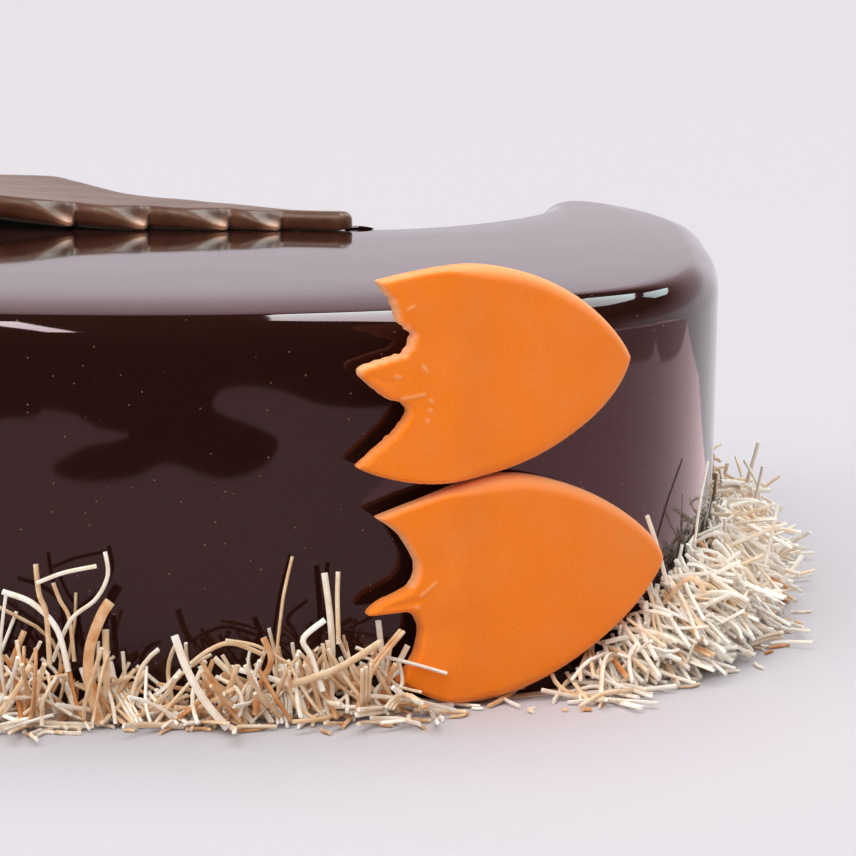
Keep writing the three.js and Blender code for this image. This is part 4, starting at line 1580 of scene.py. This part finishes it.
# The room as the glaze mirrors it: elevation in degrees and brightness, which falls off
# from the pale backdrop to a dark ceiling. The room in front of the cake is dark.
ROOM = [
    (0, (0.86, 0.80, 0.86)), (5, (0.86, 0.80, 0.86)), (7, (0.72, 0.64, 0.70)),
    (9, (0.58, 0.46, 0.50)), (12, (0.48, 0.36, 0.39)), (17, (0.37, 0.24, 0.25)),
    (22, (0.20, 0.11, 0.11)), (28, (0.02, 0.015, 0.015)),
]
ROOM_FRONT = (-0.35, 0.1)  # towards the camera it goes from dark to full over this


def surroundings(settings):
    """A room with a pale backdrop and a dark ceiling, and an even fill light."""
    world = bpy.data.worlds.new("studio")
    world.use_nodes = True
    tree = world.node_tree
    tree.nodes.clear()
    way = add_node(tree, "ShaderNodeTexCoord").outputs["Generated"]
    parts = add_node(tree, "ShaderNodeSeparateXYZ", inputs={"Vector": way})
    sky = ramp_stops(
        add_node(tree, "ShaderNodeValToRGB", inputs={"Fac": parts.outputs["Z"]}),
        [(math.sin(math.radians(angle)), (*tint, 1.0)) for angle, tint in ROOM],
    )
    dark, full = ROOM_FRONT
    behind = add_node(
        tree, "ShaderNodeMapRange", {"interpolation_type": "SMOOTHSTEP"},
        {"Value": parts.outputs["Y"], "From Min": dark, "From Max": full},
    )
    front = (*ROOM[-1][1], 1.0)
    mirrored = add_node(
        tree, "ShaderNodeMix", {"data_type": "RGBA"},
        {"Factor": behind.outputs["Result"], MIX_A: front, MIX_B: sky.outputs["Color"]},
    )
    rays = add_node(tree, "ShaderNodeLightPath")
    fill = (settings.fill, settings.fill, settings.fill, 1.0)
    lit = add_node(
        tree, "ShaderNodeMix", {"data_type": "RGBA"},
        {"Factor": rays.outputs["Is Glossy Ray"], MIX_A: fill, MIX_B: mirrored.outputs[MIXED]},
    )
    backdrop = tuple(settings.backdrop)
    shown = add_node(
        tree, "ShaderNodeMix", {"data_type": "RGBA"},
        {"Factor": rays.outputs["Is Camera Ray"], MIX_A: lit.outputs[MIXED], MIX_B: backdrop},
    )
    glow = add_node(tree, "ShaderNodeBackground", inputs={"Color": shown.outputs[MIXED]})
    add_node(tree, "ShaderNodeOutputWorld", inputs={"Surface": glow.outputs[0]})
    bpy.context.scene.world = world


# ---- Operators -----------------------------------------------------------------------------------


class EGGCAKE_OT_stage(bpy.types.Operator):
    """Set up the camera, the pale floor, the soft light and what the glaze mirrors"""

    bl_idname = "egg_cake.stage"
    bl_label = "Stage"

    def execute(self, context):
        settings = context.scene.egg_cake_stage
        camera(settings)
        floor(settings)
        surroundings(settings)
        mirrored_cards()
        for name, place in LAMPS.items():
            lamp(name, getattr(settings, name), *place)
        context.scene.view_settings.view_transform = "Standard"
        return {"FINISHED"}


class EGGCAKE_OT_glazed_body(bpy.types.Operator):
    """Make the glazed cake and the smear of glaze beside the wing"""

    bl_idname = "egg_cake.glazed_body"
    bl_label = "Glazed cake"

    def execute(self, context):
        settings = context.scene.egg_cake_glaze
        glazed_body(settings)
        glaze_ridge(settings)
        return {"FINISHED"}


class EGGCAKE_OT_wing(bpy.types.Operator):
    """Make the chocolate wing"""

    bl_idname = "egg_cake.wing"
    bl_label = "Wing"

    def execute(self, context):
        wing(context.scene.egg_cake_wing)
        return {"FINISHED"}


class EGGCAKE_OT_feet(bpy.types.Operator):
    """Make the two sugar-paste feet"""

    bl_idname = "egg_cake.feet"
    bl_label = "Feet"

    def execute(self, context):
        settings = context.scene.egg_cake_feet
        paste = sugar_paste(settings)
        for name, node, marks in (
            ("foot_upper_paste", "foot_upper", UPPER_FOOT),
            ("foot_lower_paste", "foot_lower", LOWER_FOOT),
        ):
            shape = foot(settings, node, marks)
            new_piece(name, shape, paste, [node])
        return {"FINISHED"}


class EGGCAKE_OT_pastry(bpy.types.Operator):
    """Heap the shredded pastry round the cake"""

    bl_idname = "egg_cake.pastry"
    bl_label = "Pastry nest"

    def execute(self, context):
        pastry(context.scene.egg_cake_pastry)
        return {"FINISHED"}


class EGGCAKE_PT_panel(bpy.types.Panel):
    """Lists the pieces of the cake"""

    bl_label = "Easter Egg Cake"
    bl_space_type = "VIEW_3D"
    bl_region_type = "UI"
    bl_category = "Egg Cake"

    def draw(self, context):
        for operator in OPERATORS:
            self.layout.operator(operator.bl_idname)


GROUPS = {
    "egg_cake_glaze": EggCakeGlaze,
    "egg_cake_wing": EggCakeWing,
    "egg_cake_feet": EggCakeFeet,
    "egg_cake_pastry": EggCakePastry,
    "egg_cake_stage": EggCakeStage,
}
OPERATORS = [
    EGGCAKE_OT_stage,
    EGGCAKE_OT_glazed_body,
    EGGCAKE_OT_wing,
    EGGCAKE_OT_feet,
    EGGCAKE_OT_pastry,
]


def register():
    """Registers the settings, the operators and the panel."""
    for name, group in GROUPS.items():
        bpy.utils.register_class(group)
        setattr(bpy.types.Scene, name, bpy.props.PointerProperty(type=group))
    for operator in OPERATORS:
        bpy.utils.register_class(operator)
    bpy.utils.register_class(EGGCAKE_PT_panel)


def unregister():
    """Takes them out again."""
    bpy.utils.unregister_class(EGGCAKE_PT_panel)
    for operator in reversed(OPERATORS):
        bpy.utils.unregister_class(operator)
    for name, group in GROUPS.items():
        delattr(bpy.types.Scene, name)
        bpy.utils.unregister_class(group)


def main():
    """Builds the whole scene."""
    register()
    bpy.ops.egg_cake.stage()
    bpy.ops.egg_cake.glazed_body()
    bpy.ops.egg_cake.wing()
    bpy.ops.egg_cake.feet()
    bpy.ops.egg_cake.pastry()


if __name__ == "__main__":
    main()
